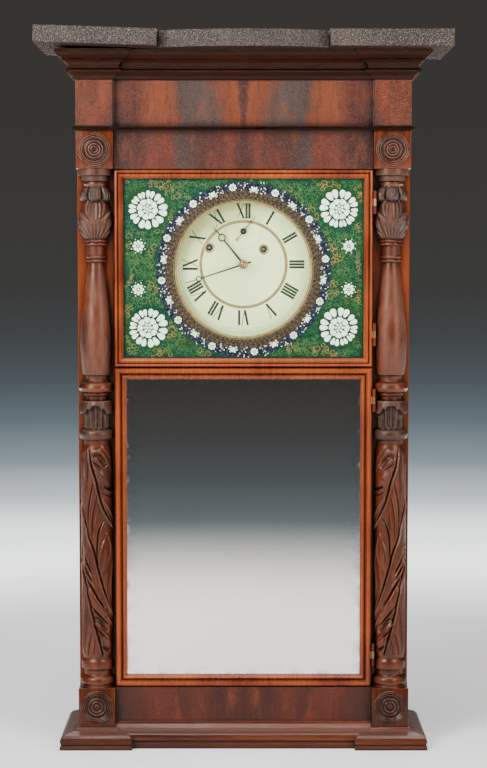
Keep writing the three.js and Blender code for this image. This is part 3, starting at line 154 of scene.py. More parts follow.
class Finish:
    def __init__(self, name):
        self.material = bpy.data.materials.new(name)
        self.material.use_nodes = True
        self.nodes = self.material.node_tree.nodes
        self.links = self.material.node_tree.links
        self.shader = self.nodes["Principled BSDF"]
        self.place = self.add("TexCoord").outputs["Object"]

    def add(self, kind, inputs=None, **settings):
        node = self.nodes.new("ShaderNode" + kind)
        for key, value in settings.items():
            setattr(node, key, value)
        for key, value in (inputs or {}).items():
            if isinstance(value, bpy.types.NodeSocket):
                self.links.new(value, node.inputs[key])
            else:
                node.inputs[key].default_value = value
        return node

    def set(self, **values):
        # shader sockets, named without spaces
        sockets = {s.name.replace(" ", ""): s for s in self.shader.inputs}
        for key, value in values.items():
            socket = sockets[key]
            if isinstance(value, bpy.types.NodeSocket):
                self.links.new(value, socket)
            else:
                socket.default_value = value
        return self.material

    def scaled(self, scale, place=None):
        return self.add("Mapping", {0: place or self.place, 3: scale}).outputs[0]

    def noise(self, scale, detail=3.0, rough=0.5, place=None, warp=0.0):
        return self.add("TexNoise", {"Vector": place or self.place, "Scale": scale, "Detail": detail,
                                     "Roughness": rough, "Distortion": warp}).outputs[0]

    def ramp(self, fac, stops):
        node = self.add("ValToRGB", {0: fac})
        colours = node.color_ramp.elements
        while len(colours) < len(stops):
            colours.new(0.5)
        for element, (at, colour) in zip(colours, stops):
            element.position = at
            element.color = (*colour, 1) if len(colour) == 3 else colour
        return node.outputs[0]

    def level(self, fac, low, high, out0=0.0, out1=1.0):
        # smooth step of a value
        return self.add("MapRange", {0: fac, 1: low, 2: high, 3: out0, 4: out1},
                        interpolation_type="SMOOTHSTEP").outputs[0]

    def sum(self, kind, a, b=0.0, c=0.0):
        return self.add("Math", {0: a, 1: b, 2: c}, operation=kind).outputs[0]

    def mix(self, fac, a, b, blend="MIX"):
        a = (*a, 1) if isinstance(a, tuple) and len(a) == 3 else a
        b = (*b, 1) if isinstance(b, tuple) and len(b) == 3 else b
        return self.add("Mix", {0: fac, 6: a, 7: b}, data_type="RGBA", blend_type=blend).outputs[2]

    def band(self, value, low, high, soft):
        # 1 between two values, with soft ends
        return self.sum("MULTIPLY", self.level(value, low, low + soft),
                        self.level(value, high, high - soft))

    def crevices(self, distance):
        # 1 in the open, lower in corners and grooves
        return self.add("AmbientOcclusion", {"Distance": distance}, samples=8).outputs["AO"]

    def cracks(self, scale, low, high, strength):
        # lines between cells
        edges = self.add("TexVoronoi", {"Vector": self.place, "Scale": scale, "Randomness": 1.0},
                         feature="DISTANCE_TO_EDGE").outputs[0]
        return self.level(edges, low, high, strength, 0.0)

    def fromMiddle(self, x, up):
        return self.sum("SQRT", self.sum("ADD", self.sum("MULTIPLY", x, x), self.sum("MULTIPLY", up, up)))

    def facing(self):
        # the way that the surface looks
        return self.axes(self.add("NewGeometry").outputs["Normal"])

    def axes(self, place=None):
        return self.add("SeparateXYZ", {0: place or self.place}).outputs

    def bump(self, height, distance, strength):
        return self.add("Bump", {"Height": height, "Distance": distance, "Strength": strength}).outputs[0]


woodTones = {
    "shadow": (0.0050, 0.0012, 0.0008),
    "dark": (0.0240, 0.0042, 0.0020),
    "body": (0.0700, 0.0105, 0.0034),
    "warm": (0.1900, 0.0370, 0.0075),
    "grey": (0.0460, 0.0260, 0.0205),
    "dusty": (0.1150, 0.0850, 0.0700),
    "rubbed": (0.1250, 0.0560, 0.0380),
    "grimy": (0.0170, 0.0110, 0.0085),
}


def lifted(tone, share):
    return tuple(share * v for v in woodTones[tone])


def mahogany(name, grain="z", lift=1.0, warmth=0.35, gloss=0.30, dust=0.0, warmEdge=None, carved=False,
             coat=0.06, coatRough=0.18, shine=0.15, knuckles=None, dullReturns=False, calm=0.0, worn=None,
             grimy=(), tint=(1.0, 0.80, 0.68, 1.0), ridgeTone="rubbed"):
    # polished mahogany: broad streaks, fine fibres and dark pores along the grain, under old shellac
    wood = Finish(name)
    squeeze = {"x": (0.05, 1, 1), "z": (1, 1, 0.05)}[grain]
    along = wood.scaled(squeeze)
    streaks = wood.noise(55, 4, 0.55, along, 0.4)
    fibres = wood.noise(620, 3, 0.6, along)
    pores = wood.level(wood.noise(1500, 2, 0.5, along), 0.60, 0.72)
    clouds = wood.noise(11, 3, 0.5)
    tone = wood.sum("ADD", wood.sum("MULTIPLY", streaks, 0.62), wood.sum("MULTIPLY", fibres, 0.38))
    if calm:
        tone = wood.sum("MULTIPLY_ADD", tone, 1 - calm, 0.55 * calm)
    warm = lifted("warm", lift)
    colour = wood.ramp(tone, [(0.36, lifted("dark", lift)), (0.50, lifted("body", lift)), (0.66, warm)])
    colour = wood.mix(wood.level(clouds, 0.38, 0.70, 0.0, warmth), colour, warm)
    if warmEdge:
        sideways = wood.sum("ABSOLUTE", wood.axes()["X"])
        edge = wood.level(wood.sum("ADD", sideways, wood.sum("MULTIPLY", clouds, 0.01)), *warmEdge)
        colour = wood.mix(wood.sum("MULTIPLY", edge, 0.65), colour, lifted("warm", 1.2 * lift))
    colour = wood.mix(wood.sum("MULTIPLY", pores, 0.7 * (1 - calm)), colour, woodTones["shadow"])
    # painted shade: darker in the corners and grooves where shade falls, with the grime that gathers there
    colour = wood.mix(wood.level(wood.crevices(0.014), 0.25, 0.85, 0.90, 0.0), colour, woodTones["shadow"])
    rough = wood.level(wood.noise(240, 3, 0.6, along), 0.3, 0.75, gloss * 0.75, gloss * 1.45)
    metallic = 0.0
    if dullReturns:
        # the mitred ends and undersides were never polished
        across, deep, up = wood.facing()
        sideways = wood.level(wood.sum("ABSOLUTE", across), 0.25, 0.6)
        under = wood.level(up, -0.5, -0.85)
        rough = wood.sum("MAXIMUM", rough, wood.sum("MAXIMUM", sideways, under))
    if knuckles:
        # brass hinge knuckles at the door's right edge
        x, y, z = wood.axes()
        right, front = knuckles
        brassy = wood.sum("MULTIPLY", wood.sum("GREATER_THAN", x, right), wood.sum("LESS_THAN", y, front))
        colour = wood.mix(brassy, colour, (0.16, 0.095, 0.035))
        metallic = wood.sum("MULTIPLY", brassy, 0.8)
    if carved:
        carve = wood.add("Attribute", attribute_name="carve").outputs["Fac"]
        ridges = wood.sum("MULTIPLY", wood.level(carve, 0.57, 0.90),
                          wood.level(wood.noise(90, 3, 0.6), 0.32, 0.58))
        # painted shade darkens the carving's hollows
        colour = wood.mix(wood.level(carve, 0.15, 0.53, 0.92, 0.0), colour, woodTones["shadow"])
        # its ridges take a lighter rubbed tone: wear, and a painted highlight
        colour = wood.mix(wood.sum("MULTIPLY", ridges, 0.45), colour, woodTones[ridgeTone])
        rough = wood.sum("ADD", rough, wood.sum("MULTIPLY", ridges, 0.10))
    for low, high, share in grimy:
        # bands grey with old wax
        band = wood.band(wood.axes()["Z"], low, high, 0.004)
        patchy = wood.level(wood.noise(130, 3, 0.6), 0.30, 0.55, 0.35 * share, share)
        colour = wood.mix(wood.sum("MULTIPLY", band, patchy), colour, woodTones["grimy"])
        rough = wood.sum("MULTIPLY_ADD", band, 0.10, rough)
    if worn:
        # shellac rubbed dull and blotchy between two heights
        zone = wood.band(wood.axes()["Z"], *worn, 0.03)
        blotch = wood.level(wood.noise(60, 5, 0.65, wood.scaled((1, 1, 0.5))), 0.35, 0.68)
        rough = wood.sum("MULTIPLY_ADD", zone, wood.sum("MULTIPLY_ADD", blotch, 0.20, 0.06), rough)
        rubbed = wood.sum("MULTIPLY", zone, wood.sum("MULTIPLY", blotch, 0.30))
        colour = wood.mix(rubbed, colour, woodTones["rubbed"])
    if dust:
        settled = wood.level(wood.facing()["Z"], 0.4, 0.95, 0, dust)
        colour = wood.mix(settled, colour, woodTones["dusty"])
    grainBump = wood.bump(wood.sum("SUBTRACT", fibres, pores), 0.00012, 0.5)
    return wood.set(BaseColor=colour, Roughness=rough, Normal=grainBump, CoatWeight=coat,
                    CoatRoughness=coatRough, SpecularIORLevel=shine, Metallic=metallic, SpecularTint=tint)


def crotchVeneer(name, seed, figure, lift=1.0, sway=0.012, below=None, greying=0.55):
    # book-matched crotch veneer: one figure mirrored about the middle seam, given as
    # (distance from the seam in metres, tone, strength), under a fine crackle; below: the height
    # in metres under which another cut lies, its figure and its lift, darker in part as painted shade
    wood = Finish(name)
    x, y, z = wood.axes()
    aside = wood.sum("ABSOLUTE", x)
    mirrored = wood.add("CombineXYZ", {0: aside, 1: seed, 2: z}).outputs[0]
    drift = wood.sum("SUBTRACT", wood.noise(22, 4, 0.6, wood.scaled((1, 1, 0.55), mirrored)), 0.5)
    shifted = wood.sum("ADD", aside, wood.sum("MULTIPLY", drift, 5 * sway))
    reach = 0.24
    cuts = [(figure, lift)] + ([below[1:]] if below else [])
    tones = []
    for cut, share in cuts:
        stops = [(at / reach, lifted(tone, strength * share)) for at, tone, strength in cut]
        tones.append(wood.ramp(wood.sum("DIVIDE", shifted, reach), stops))
    colour = tones[0]
    if below:
        colour = wood.mix(wood.sum("LESS_THAN", z, below[0]), tones[0], tones[1])
    plumes = wood.noise(120, 4, 0.6, wood.scaled((1, 1, 0.10), mirrored), 0.3)
    colour = wood.mix(wood.level(plumes, 0.46, 0.74, 0.0, 0.60), colour, lifted("dark", 1.1 * lift))
    patches = wood.noise(34, 5, 0.62, wood.scaled((1, 1, 0.45), mirrored))
    colour = wood.mix(wood.level(patches, 0.50, 0.74, 0.0, 0.50), colour, lifted("warm", 1.1 * lift))
    colour = wood.mix(wood.level(patches, 0.48, 0.26, 0.0, greying), colour, lifted("grey", 0.9 * lift))
    seam = wood.level(aside, 0.0004, 0.006, 0.80, 0.0)
    colour = wood.mix(seam, colour, lifted("dark", 1.3))
    speck = wood.noise(760, 3, 0.65)
    crackle = wood.cracks(430, 0.0, 0.12, 1.0)
    grains = wood.level(speck, 0.50, 0.62)
    colour = wood.mix(wood.sum("MULTIPLY", crackle, 0.40), colour, woodTones["shadow"])
    colour = wood.mix(wood.sum("MULTIPLY", grains, 0.62 * greying), colour, lifted("dusty", 0.9 * lift))
    # painted shade: darker in corners and grooves where shade falls
    colour = wood.mix(wood.level(wood.crevices(0.018), 0.25, 0.85, 0.90, 0.0), colour, woodTones["shadow"])
    rough = wood.level(speck, 0.35, 0.7, 0.28, 0.48)
    bump = wood.bump(wood.sum("ADD", wood.sum("MULTIPLY", crackle, -1.0), grains), 0.00012, 0.6)
    return wood.set(BaseColor=colour, Roughness=rough, Normal=bump, CoatWeight=0.06, CoatRoughness=0.2,
                    SpecularIORLevel=0.20)


def shelfPaint(name):
    # old black-brown paint on the three top boards, crackled and speckled with age
    paint = Finish(name)
    crack = paint.cracks(430, 0.0, 0.16, 1.0)
    fine = paint.noise(1100, 3, 0.65)
    clouds = paint.noise(16, 4, 0.55)
    base = paint.ramp(clouds, [(0.34, (0.014, 0.0100, 0.0080)), (0.52, (0.026, 0.0190, 0.0155)),
                               (0.70, (0.046, 0.0340, 0.0285))])
    base = paint.mix(paint.level(fine, 0.52, 0.62, 0, 0.85), base, (0.19, 0.152, 0.128))
    base = paint.mix(paint.level(paint.noise(700, 2, 0.5), 0.54, 0.62, 0, 0.9), base, (0.010, 0.007, 0.006))
    base = paint.mix(paint.sum("MULTIPLY", crack, 0.65), base, (0.008, 0.005, 0.004))
    worn = paint.level(paint.noise(7, 3, 0.6), 0.58, 0.70, 0, 0.55)
    reach = paint.level(paint.axes()["X"], 0.13, 0.25)
    base = paint.mix(paint.sum("MULTIPLY", worn, reach), base, (0.090, 0.022, 0.012))
    under = paint.level(paint.facing()["Z"], -0.9, -0.5, 1.0, 0.0)
    base = paint.mix(under, base, lifted("dark", 0.8))  # painted shade: the underside is dark, as it lies in shade
    height = paint.sum("SUBTRACT", paint.sum("MULTIPLY", fine, 0.6), crack)
    rough = paint.sum("MAXIMUM", paint.level(fine, 0.3, 0.7, 0.42, 0.66), under)
    return paint.set(BaseColor=base, Roughness=rough, Normal=paint.bump(height, 0.00025, 0.7),
                     SpecularIORLevel=0.16)


def pineBoard(name):
    # unpainted softwood gone brown inside the case
    wood = Finish(name)
    along = wood.scaled((1, 1, 0.05))
    rings = wood.noise(48, 4, 0.6, along, 0.6)
    fibres = wood.noise(700, 3, 0.6, along)
    tone = wood.sum("ADD", wood.sum("MULTIPLY", rings, 0.45), wood.sum("MULTIPLY", fibres, 0.55))
    colour = wood.ramp(tone, [(0.25, (0.10, 0.048, 0.020)), (0.5, (0.21, 0.112, 0.050)),
                              (0.8, (0.33, 0.20, 0.098))])
    stains = wood.level(wood.noise(6, 4, 0.6), 0.42, 0.75, 0, 0.6)
    colour = wood.mix(stains, colour, (0.055, 0.030, 0.016))
    return wood.set(BaseColor=colour, Roughness=wood.level(fibres, 0.2, 0.8, 0.62, 0.85),
                    Normal=wood.bump(tone, 0.00025, 0.5), SpecularIORLevel=0.3)


def metal(name, colour, dull, rough, tarnish=0.5, brushed=(1, 1, 1), pits=0.00004, grooves=0.0):
    # brushed or cast metal with darker, rougher patches
    plate = Finish(name)
    lines = plate.noise(900, 3, 0.6, plate.scaled(brushed))
    patches = plate.level(plate.noise(45, 4, 0.6), 0.42, 0.68, 0, tarnish)
    tone = plate.mix(patches, colour, dull)
    tone = plate.mix(plate.level(lines, 0.3, 0.8, 0, 0.25), tone, tuple(0.5 * v for v in dull))
    if grooves:
        # painted shade and grime in the turned grooves
        grooveDirtAndShade = plate.level(plate.crevices(grooves), 0.35, 0.90, 0.92, 0.0)
        tone = plate.mix(grooveDirtAndShade, tone, (0.006, 0.004, 0.003))
    spread = plate.sum("ADD", plate.level(lines, 0.2, 0.8, rough * 0.8, rough * 1.25),
                       plate.sum("MULTIPLY", patches, 0.15))
    return plate.set(BaseColor=tone, Metallic=1.0, Roughness=spread, Normal=plate.bump(lines, pits, 0.6))


def dialPaintFinish(name):
    # pale oil paint over gesso, slightly yellowed, with fine specks
    paint = Finish(name)
    clouds = paint.noise(14, 3, 0.55)
    colour = paint.ramp(clouds, [(0.30, (0.76, 0.92, 0.38)), (0.55, (0.86, 1.0, 0.46)),
                                 (0.75, (0.90, 1.0, 0.52))])
    # painted shadow: darker olive towards the top and the left, as under the tablet's edge
    at = paint.axes()
    upLeft = paint.sum("SUBTRACT", at["Z"], paint.sum("MULTIPLY", at["X"], 0.6))
    high = paint.level(upLeft, 0.700, 0.775, 0.0, 0.9)
    colour = paint.mix(high, colour, (0.46, 0.485, 0.18))
    specks = paint.level(paint.noise(420, 2, 0.5), 0.70, 0.76, 0, 0.7)
    colour = paint.mix(specks, colour, (0.20, 0.15, 0.08))
    colour = paint.mix(paint.cracks(60, 0.0, 0.012, 0.16), colour, (0.34, 0.30, 0.20))
    fine = paint.noise(500, 3, 0.6)
    return paint.set(BaseColor=colour, Roughness=paint.level(fine, 0.3, 0.7, 0.36, 0.5),
                     Normal=paint.bump(fine, 0.00004, 0.5), SpecularIORLevel=0.4)


def paintLine(name, colour, other, scale=260, rough=0.45):
    # a thin coat of coloured paint, uneven in tone
    paint = Finish(name)
    tone = paint.noise(scale, 3, 0.6)
    mixed = paint.mix(paint.level(tone, 0.35, 0.68), colour, other)
    return paint.set(BaseColor=mixed, Roughness=paint.level(tone, 0.3, 0.7, rough * 0.85, rough * 1.2),
                     Normal=paint.bump(tone, 0.00003, 0.5), SpecularIORLevel=0.12)


def cordFinish(name):
    # twisted gut cord: slanting strands
    cord = Finish(name)
    x, y, z = cord.axes()
    slant = cord.sum("ADD", cord.sum("MULTIPLY", z, 2600.0), cord.sum("MULTIPLY", x, 2400.0))
    strands = cord.sum("SINE", slant)
    colour = cord.mix(cord.level(strands, -0.6, 0.7), (0.13, 0.085, 0.045), (0.42, 0.32, 0.19))
    colour = cord.mix(cord.level(cord.noise(90, 3, 0.6), 0.45, 0.7, 0, 0.5), colour, (0.10, 0.065, 0.04))
    return cord.set(BaseColor=colour, Roughness=cord.level(strands, -1, 1, 0.85, 0.65),
                    Normal=cord.bump(strands, 0.0002, 0.7))


def glassFinish(name):
    # old window glass: clear, faintly green, a little wavy
    glass = Finish(name)
    waves = glass.noise(14, 2, 0.4)
    aslant = glass.add("LayerWeight", {"Blend": 0.5}).outputs["Facing"]
    tint = glass.mix(glass.level(waves, 0.3, 0.7), (0.04, 0.08, 0.05), (0.07, 0.12, 0.08))
    glass.material.blend_method = "BLEND"
    return glass.set(BaseColor=tint, Roughness=0.03, Alpha=glass.level(aslant, 0.45, 1.0, 0.03, 0.6),
                     Normal=glass.bump(waves, 0.0006, 0.15), SpecularIORLevel=0.5)


def mirrorFinish(name):
    # silvered plate, foxed towards its edges
    mirror = Finish(name)
    x, y, z = mirror.axes()
    low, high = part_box("mirror_glass")
    middle, half = (low[2] + high[2]) / 2, (high[2] - low[2]) / 2
    sideways = mirror.sum("DIVIDE", mirror.sum("ABSOLUTE", x), high[0])
    upright = mirror.sum("DIVIDE", mirror.sum("ABSOLUTE", mirror.sum("SUBTRACT", z, middle)), half)
    rim = mirror.sum("MAXIMUM", mirror.sum("POWER", sideways, 22.0), mirror.sum("POWER", upright, 34.0))
    foxing = mirror.noise(70, 5, 0.65)
    spots = mirror.sum("MULTIPLY", mirror.level(foxing, 0.40, 0.62), rim)
    flecks = mirror.level(mirror.noise(330, 2, 0.5), 0.76, 0.80, 0, 0.5)
    spots = mirror.sum("MAXIMUM", spots, flecks)
    colour = mirror.mix(spots, (0.93, 0.87, 0.80), (0.10, 0.09, 0.07))
    rough = mirror.level(spots, 0.0, 1.0, 0.025, 0.4)
    return mirror.set(BaseColor=colour, Metallic=1.0, Roughness=rough,
                      Normal=mirror.bump(mirror.noise(7, 2, 0.4), 0.0004, 0.06))


caseWood = mahogany("case_mahogany_upright", "z", 0.92, 0.35, 0.34, calm=0.35)
stileWood = mahogany("stile_mahogany", "z", 0.76, 0.20, 0.34, warmEdge=(0.208, 0.240))
mouldWood = mahogany("moulding_mahogany", "x", 0.14, 0.14, 0.16, coat=0.0, shine=0.16,
                     dullReturns=True, calm=0.4)
# the ledge is near black: painted shade, standing in for the shadow line under it
ledgeWood = mahogany("ledge_mahogany", "x", 0.05, 0.10, 0.30, coat=0.0, shine=0.12,
                     dullReturns=True, calm=1.0)
baseWood = mahogany("base_mahogany", "x", 0.60, 0.20, 0.34, dust=0.26, coat=0.0, shine=0.26,
                    tint=(1.0, 0.94, 0.90, 1.0))
# the knuckles are brass right of the first value and in front of the second, in metres
beadWood = mahogany("door_bead_mahogany", "z", 1.45, 0.80, 0.26, shine=0.26, coat=0.12,
                    knuckles=(0.1792, -0.0255), calm=0.6)
# grime lies between two heights in metres, with a strength; the swell is worn between two more
grimyBands = ((0.425, 0.486, 0.75), (0.758, 0.783, 0.9), (0.706, 0.762, 0.42), (0.784, 0.806, 0.5))
columnWood = mahogany("column_mahogany", "z", 0.66, 0.45, 0.28, carved=True, coat=0.0, shine=0.42,
                      worn=(0.500, 0.680), grimy=grimyBands)
# the rosettes' ridges take the pale dusty tone as a painted highlight
blockWoods = {level: mahogany("block_mahogany_" + level, "z", lift, warmth, 0.28, carved=True,
                              ridgeTone="dusty", shine=0.25)
              for level, lift, warmth in (("upper", 0.70, 0.62), ("lower", 0.54, 0.20))}
# figure of the veneers outwards from the middle seam: distance in metres, tone, strength
friezeFigure = [(0.0, "dark", 1.6), (0.010, "warm", 0.85), (0.028, "warm", 0.70), (0.045, "grey", 1.3),
                (0.085, "grey", 1.0), (0.100, "warm", 0.75), (0.128, "warm", 0.85), (0.146, "body", 1.1),
                (0.170, "dark", 1.5), (0.185, "body", 1.25), (0.240, "warm", 0.42)]
friezeLowFigure = [(0.0, "dark", 1.2), (0.014, "body", 1.3), (0.034, "body", 1.0), (0.055, "dark", 2.0),
                   (0.088, "grey", 0.75), (0.104, "body", 1.2), (0.130, "body", 1.5), (0.150, "body", 0.6),
                   (0.175, "dark", 0.9), (0.240, "body", 0.8)]
railFigure = [(0.0, "body", 0.8), (0.020, "dark", 1.2), (0.060, "body", 1.2), (0.095, "body", 0.8),
              (0.130, "body", 1.4), (0.180, "dark", 1.3), (0.240, "body", 0.8)]
# under the ledge the frieze has its own figure, darker in part as painted shadow of the ledge
friezeVeneer = crotchVeneer("frieze_crotch_veneer", 0.3, friezeFigure, 0.88,
                            below=(0.8604, friezeLowFigure, 0.84))
railVeneer = crotchVeneer("rail_crotch_veneer", 1.7, railFigure, 0.92, greying=0.25)
slabPaint = shelfPaint("shelf_top_paint")
pine = pineBoard("case_back_pine")
brass = metal("movement_brass", (0.62, 0.43, 0.17), (0.30, 0.19, 0.07), 0.30, brushed=(1, 1, 0.05))
collarBrass = metal("collar_brass", (0.44, 0.31, 0.16), (0.15, 0.10, 0.055), 0.34, tarnish=0.8,
                    grooves=0.0022)
steel = metal("bright_steel", (0.45, 0.44, 0.42), (0.22, 0.20, 0.18), 0.32, brushed=(1, 0.05, 1))
blued = metal("blued_steel", (0.055, 0.060, 0.060), (0.025, 0.024, 0.022), 0.38)
iron = metal("cast_iron", (0.085, 0.080, 0.075), (0.045, 0.030, 0.022), 0.62, pits=0.0004)
dialPaint = dialPaintFinish("dial_paint")
cordGut = cordFinish("weight_cord")
glass = glassFinish("tablet_glass")
mirror = mirrorFinish("mirror_silver")
print("finishes ready")


# CAD nodes that stay, with their finish and the small round worn on their edges (mm)
nodeFinishes = {
    "backboard": (pine, 0.8), "side_board_left": (caseWood, 1.0), "side_board_right": (caseWood, 1.0),
    "floor_board": (pine, 0.6), "top_board": (pine, 0.6), "lower_rail": (railVeneer, 0.6),
    "division_rail": (pine, 0.5), "stile_left": (stileWood, 0.8), "stile_right": (stileWood, 0.8),
    "frieze_board": (friezeVeneer, 0.8), "frieze_ledge": (ledgeWood, 0.7),
    "cornice_moulding": (mouldWood, 0.7), "base_moulding": (baseWood, 0.8),
    "top_slab_left": (slabPaint, 1.3), "top_slab_right": (slabPaint, 1.3),
    "top_slab_centre": (slabPaint, 1.1), "upper_door_frame": (beadWood, 0.4),
    "lower_door_frame": (beadWood, 0.4), "mirror_glass": (mirror, 0), "mirror_back": (pine, 0.5),
    "dial_plate": (dialPaint, 0.2), "hour_hand": (blued, 0), "minute_hand": (blued, 0),
    "seconds_hand": (blued, 0),
}
slotFinishes = {"brass": brass, "steel": steel, "iron": iron, "cord": cordGut, "pine": pine,
                "mahogany": caseWood, "veneer": friezeVeneer, "blued_steel": blued,
                "dial_paint": dialPaint, "slab_paint": slabPaint, "mirror": mirror, "painted_glass": glass}
slots = {part["node"]: part["material_slot"] for part in frame["record"]["subparts"]}


def softenEdges(node, width):
    # weld the imported faces together, then round their corners a little
    weld = node.modifiers.new("weld", "WELD")
    weld.merge_threshold = 1e-6
    edges = node.modifiers.new("worn_edges", "BEVEL")
    edges.width = width * mm
    edges.segments = 2
    edges.limit_method = "ANGLE"
    edges.angle_limit = math.radians(38)
    edges.harden_normals = False


def roundShading():
    # modifier tree that shades turned parts smoothly and keeps their sharp edges
    tree = bpy.data.node_groups.new("round_shading", "GeometryNodeTree")
    tree.is_modifier = True
    tree.interface.new_socket("Geometry", in_out="INPUT", socket_type="NodeSocketGeometry")
    tree.interface.new_socket("Geometry", in_out="OUTPUT", socket_type="NodeSocketGeometry")
    kinds = ("NodeGroupInput", "GeometryNodeMergeByDistance", "GeometryNodeSetShadeSmooth",
             "GeometryNodeSetShadeSmooth", "NodeGroupOutput")
    chain = [tree.nodes.new(kind) for kind in kinds]
    for before, after in zip(chain, chain[1:]):
        tree.links.new(before.outputs[0], after.inputs[0])
    chain[1].inputs["Distance"].default_value = 1e-6
    sharp = tree.nodes.new("FunctionNodeCompare")
    sharp.operation = "GREATER_THAN"
    tree.links.new(tree.nodes.new("GeometryNodeInputMeshEdgeAngle").outputs[0], sharp.inputs[0])
    sharp.inputs[1].default_value = math.radians(36)
    chain[3].domain = "EDGE"
    tree.links.new(sharp.outputs[0], chain[3].inputs["Selection"])
    chain[3].inputs["Shade Smooth"].default_value = False
    return tree


roundTree = roundShading()
for nodeName, node in cadNodes.items():
    finish, edge = nodeFinishes.get(nodeName, (slotFinishes[slots[nodeName]], 0))
    node.data.materials.clear()
    node.data.materials.append(finish)
    if edge:
        softenEdges(node, edge)
    elif slots[nodeName] in ("brass", "steel", "iron", "blued_steel", "cord"):
        node.modifiers.new("round_shading", "NODES").node_group = roundTree
print("frame dressed")


# Carved half columns

# shares are of the height: where the carving starts, is full, begins to fade and ends
column = {
    "centreX": 205.0, "backY": -12.0, "foot": 82.0, "head": 805.0, "radius": 24.9,
    "rowStep": 0.7, "around": 132, "relief": 1.4, "shift": {"left": 0.0, "right": 2.2},
    "shaftShares": (0.0595, 0.066, 0.468, 0.4715), "cupShares": (0.866, 0.870, 0.9445, 0.948),
    "lipShares": (0.5015, 0.557), "tipShares": (0.9385, 0.9675), "cupRelief": 0.95, "tipReach": 8.6,
    "tipDegrees": 61, "calmTurn": (1.15, 1.50), "calmShare": 0.40, "waver": 40, "meanShare": 0.90,
    "shadeWindow": 9, "shadeDepth": 1.9,
}
# lower edge of the leaf lip: degrees from the front, share of the lip's height
lipEdge = [(0, 0.80), (12, 0.77), (22, 0.64), (30, 0.70), (45, 0.52), (65, 0.50), (90, 0.56)]
# turned outline from the foot up: share of the height, share of the radius
columnOutline = [
    # foot rings
    (0, 0.97), (0.003, 0.97), (0.004, 0.93), (0.007, 0.97), (0.0115, 1), (0.016, 0.98), (0.019, 0.93),
    (0.0215, 0.84), (0.024, 0.79), (0.033, 0.79), (0.0345, 0.86), (0.037, 0.915), (0.044, 0.93),
    (0.051, 0.915), (0.0545, 0.87), (0.056, 0.84), (0.059, 0.84),
    # shaft with the winding stems
    (0.064, 0.88), (0.080, 0.90), (0.25, 0.92), (0.40, 0.91), (0.434, 0.89), (0.458, 0.84),
    (0.470, 0.79), (0.4715, 0.76), (0.480, 0.76),
    # middle ring, leaf lip and the rings over it
    (0.4815, 0.86), (0.4835, 0.93), (0.487, 0.975), (0.491, 0.985), (0.495, 0.975), (0.4985, 0.93),
    (0.5005, 0.84), (0.502, 0.69), (0.520, 0.67), (0.538, 0.74), (0.553, 0.84), (0.5565, 0.80),
    (0.5575, 0.66), (0.565, 0.655), (0.566, 0.70), (0.568, 0.745), (0.571, 0.745), (0.5725, 0.72),
    (0.574, 0.90), (0.577, 0.965), (0.581, 0.985), (0.586, 0.965), (0.590, 0.91), (0.5915, 0.80),
    (0.594, 0.70), (0.598, 0.645), (0.603, 0.65), (0.6055, 0.70),
    # smooth swell, like a bottle
    (0.607, 0.78), (0.620, 0.835), (0.635, 0.872), (0.652, 0.895), (0.669, 0.90), (0.690, 0.872),
    (0.71, 0.825), (0.731, 0.762), (0.751, 0.695), (0.769, 0.628), (0.787, 0.565), (0.806, 0.506),
    (0.820, 0.468), (0.8222, 0.47),
    # neck rings
    (0.8232, 0.55), (0.8255, 0.595), (0.8275, 0.55), (0.8285, 0.53), (0.8305, 0.585), (0.8325, 0.60),
    (0.8345, 0.57), (0.8355, 0.54), (0.853, 0.55), (0.8545, 0.62), (0.8565, 0.685), (0.859, 0.66),
    (0.8605, 0.64), (0.8625, 0.70), (0.865, 0.665), (0.8665, 0.64),
    # leaf cup, its neck and the cap
    (0.870, 0.74), (0.88, 0.86), (0.892, 0.955), (0.902, 0.98), (0.915, 0.92), (0.930, 0.78),
    (0.941, 0.66), (0.945, 0.62), (0.951, 0.60), (0.966, 0.60), (0.968, 0.68), (0.9715, 0.71),
    (0.975, 0.68), (0.9765, 0.66), (0.978, 0.78), (0.9865, 0.80), (0.9885, 0.99), (1, 1),
]


def step(value, low, high):
    t = np.clip((value - low) / (high - low), 0, 1)
    return t * t * (3 - 2 * t)


def plateau(value, low, fullFrom, fullTo, high):
    return step(value, low, fullFrom) * (1 - step(value, fullTo, high))


def ridge(value, at, width):
    return np.exp(-((value - at) / width) ** 2)


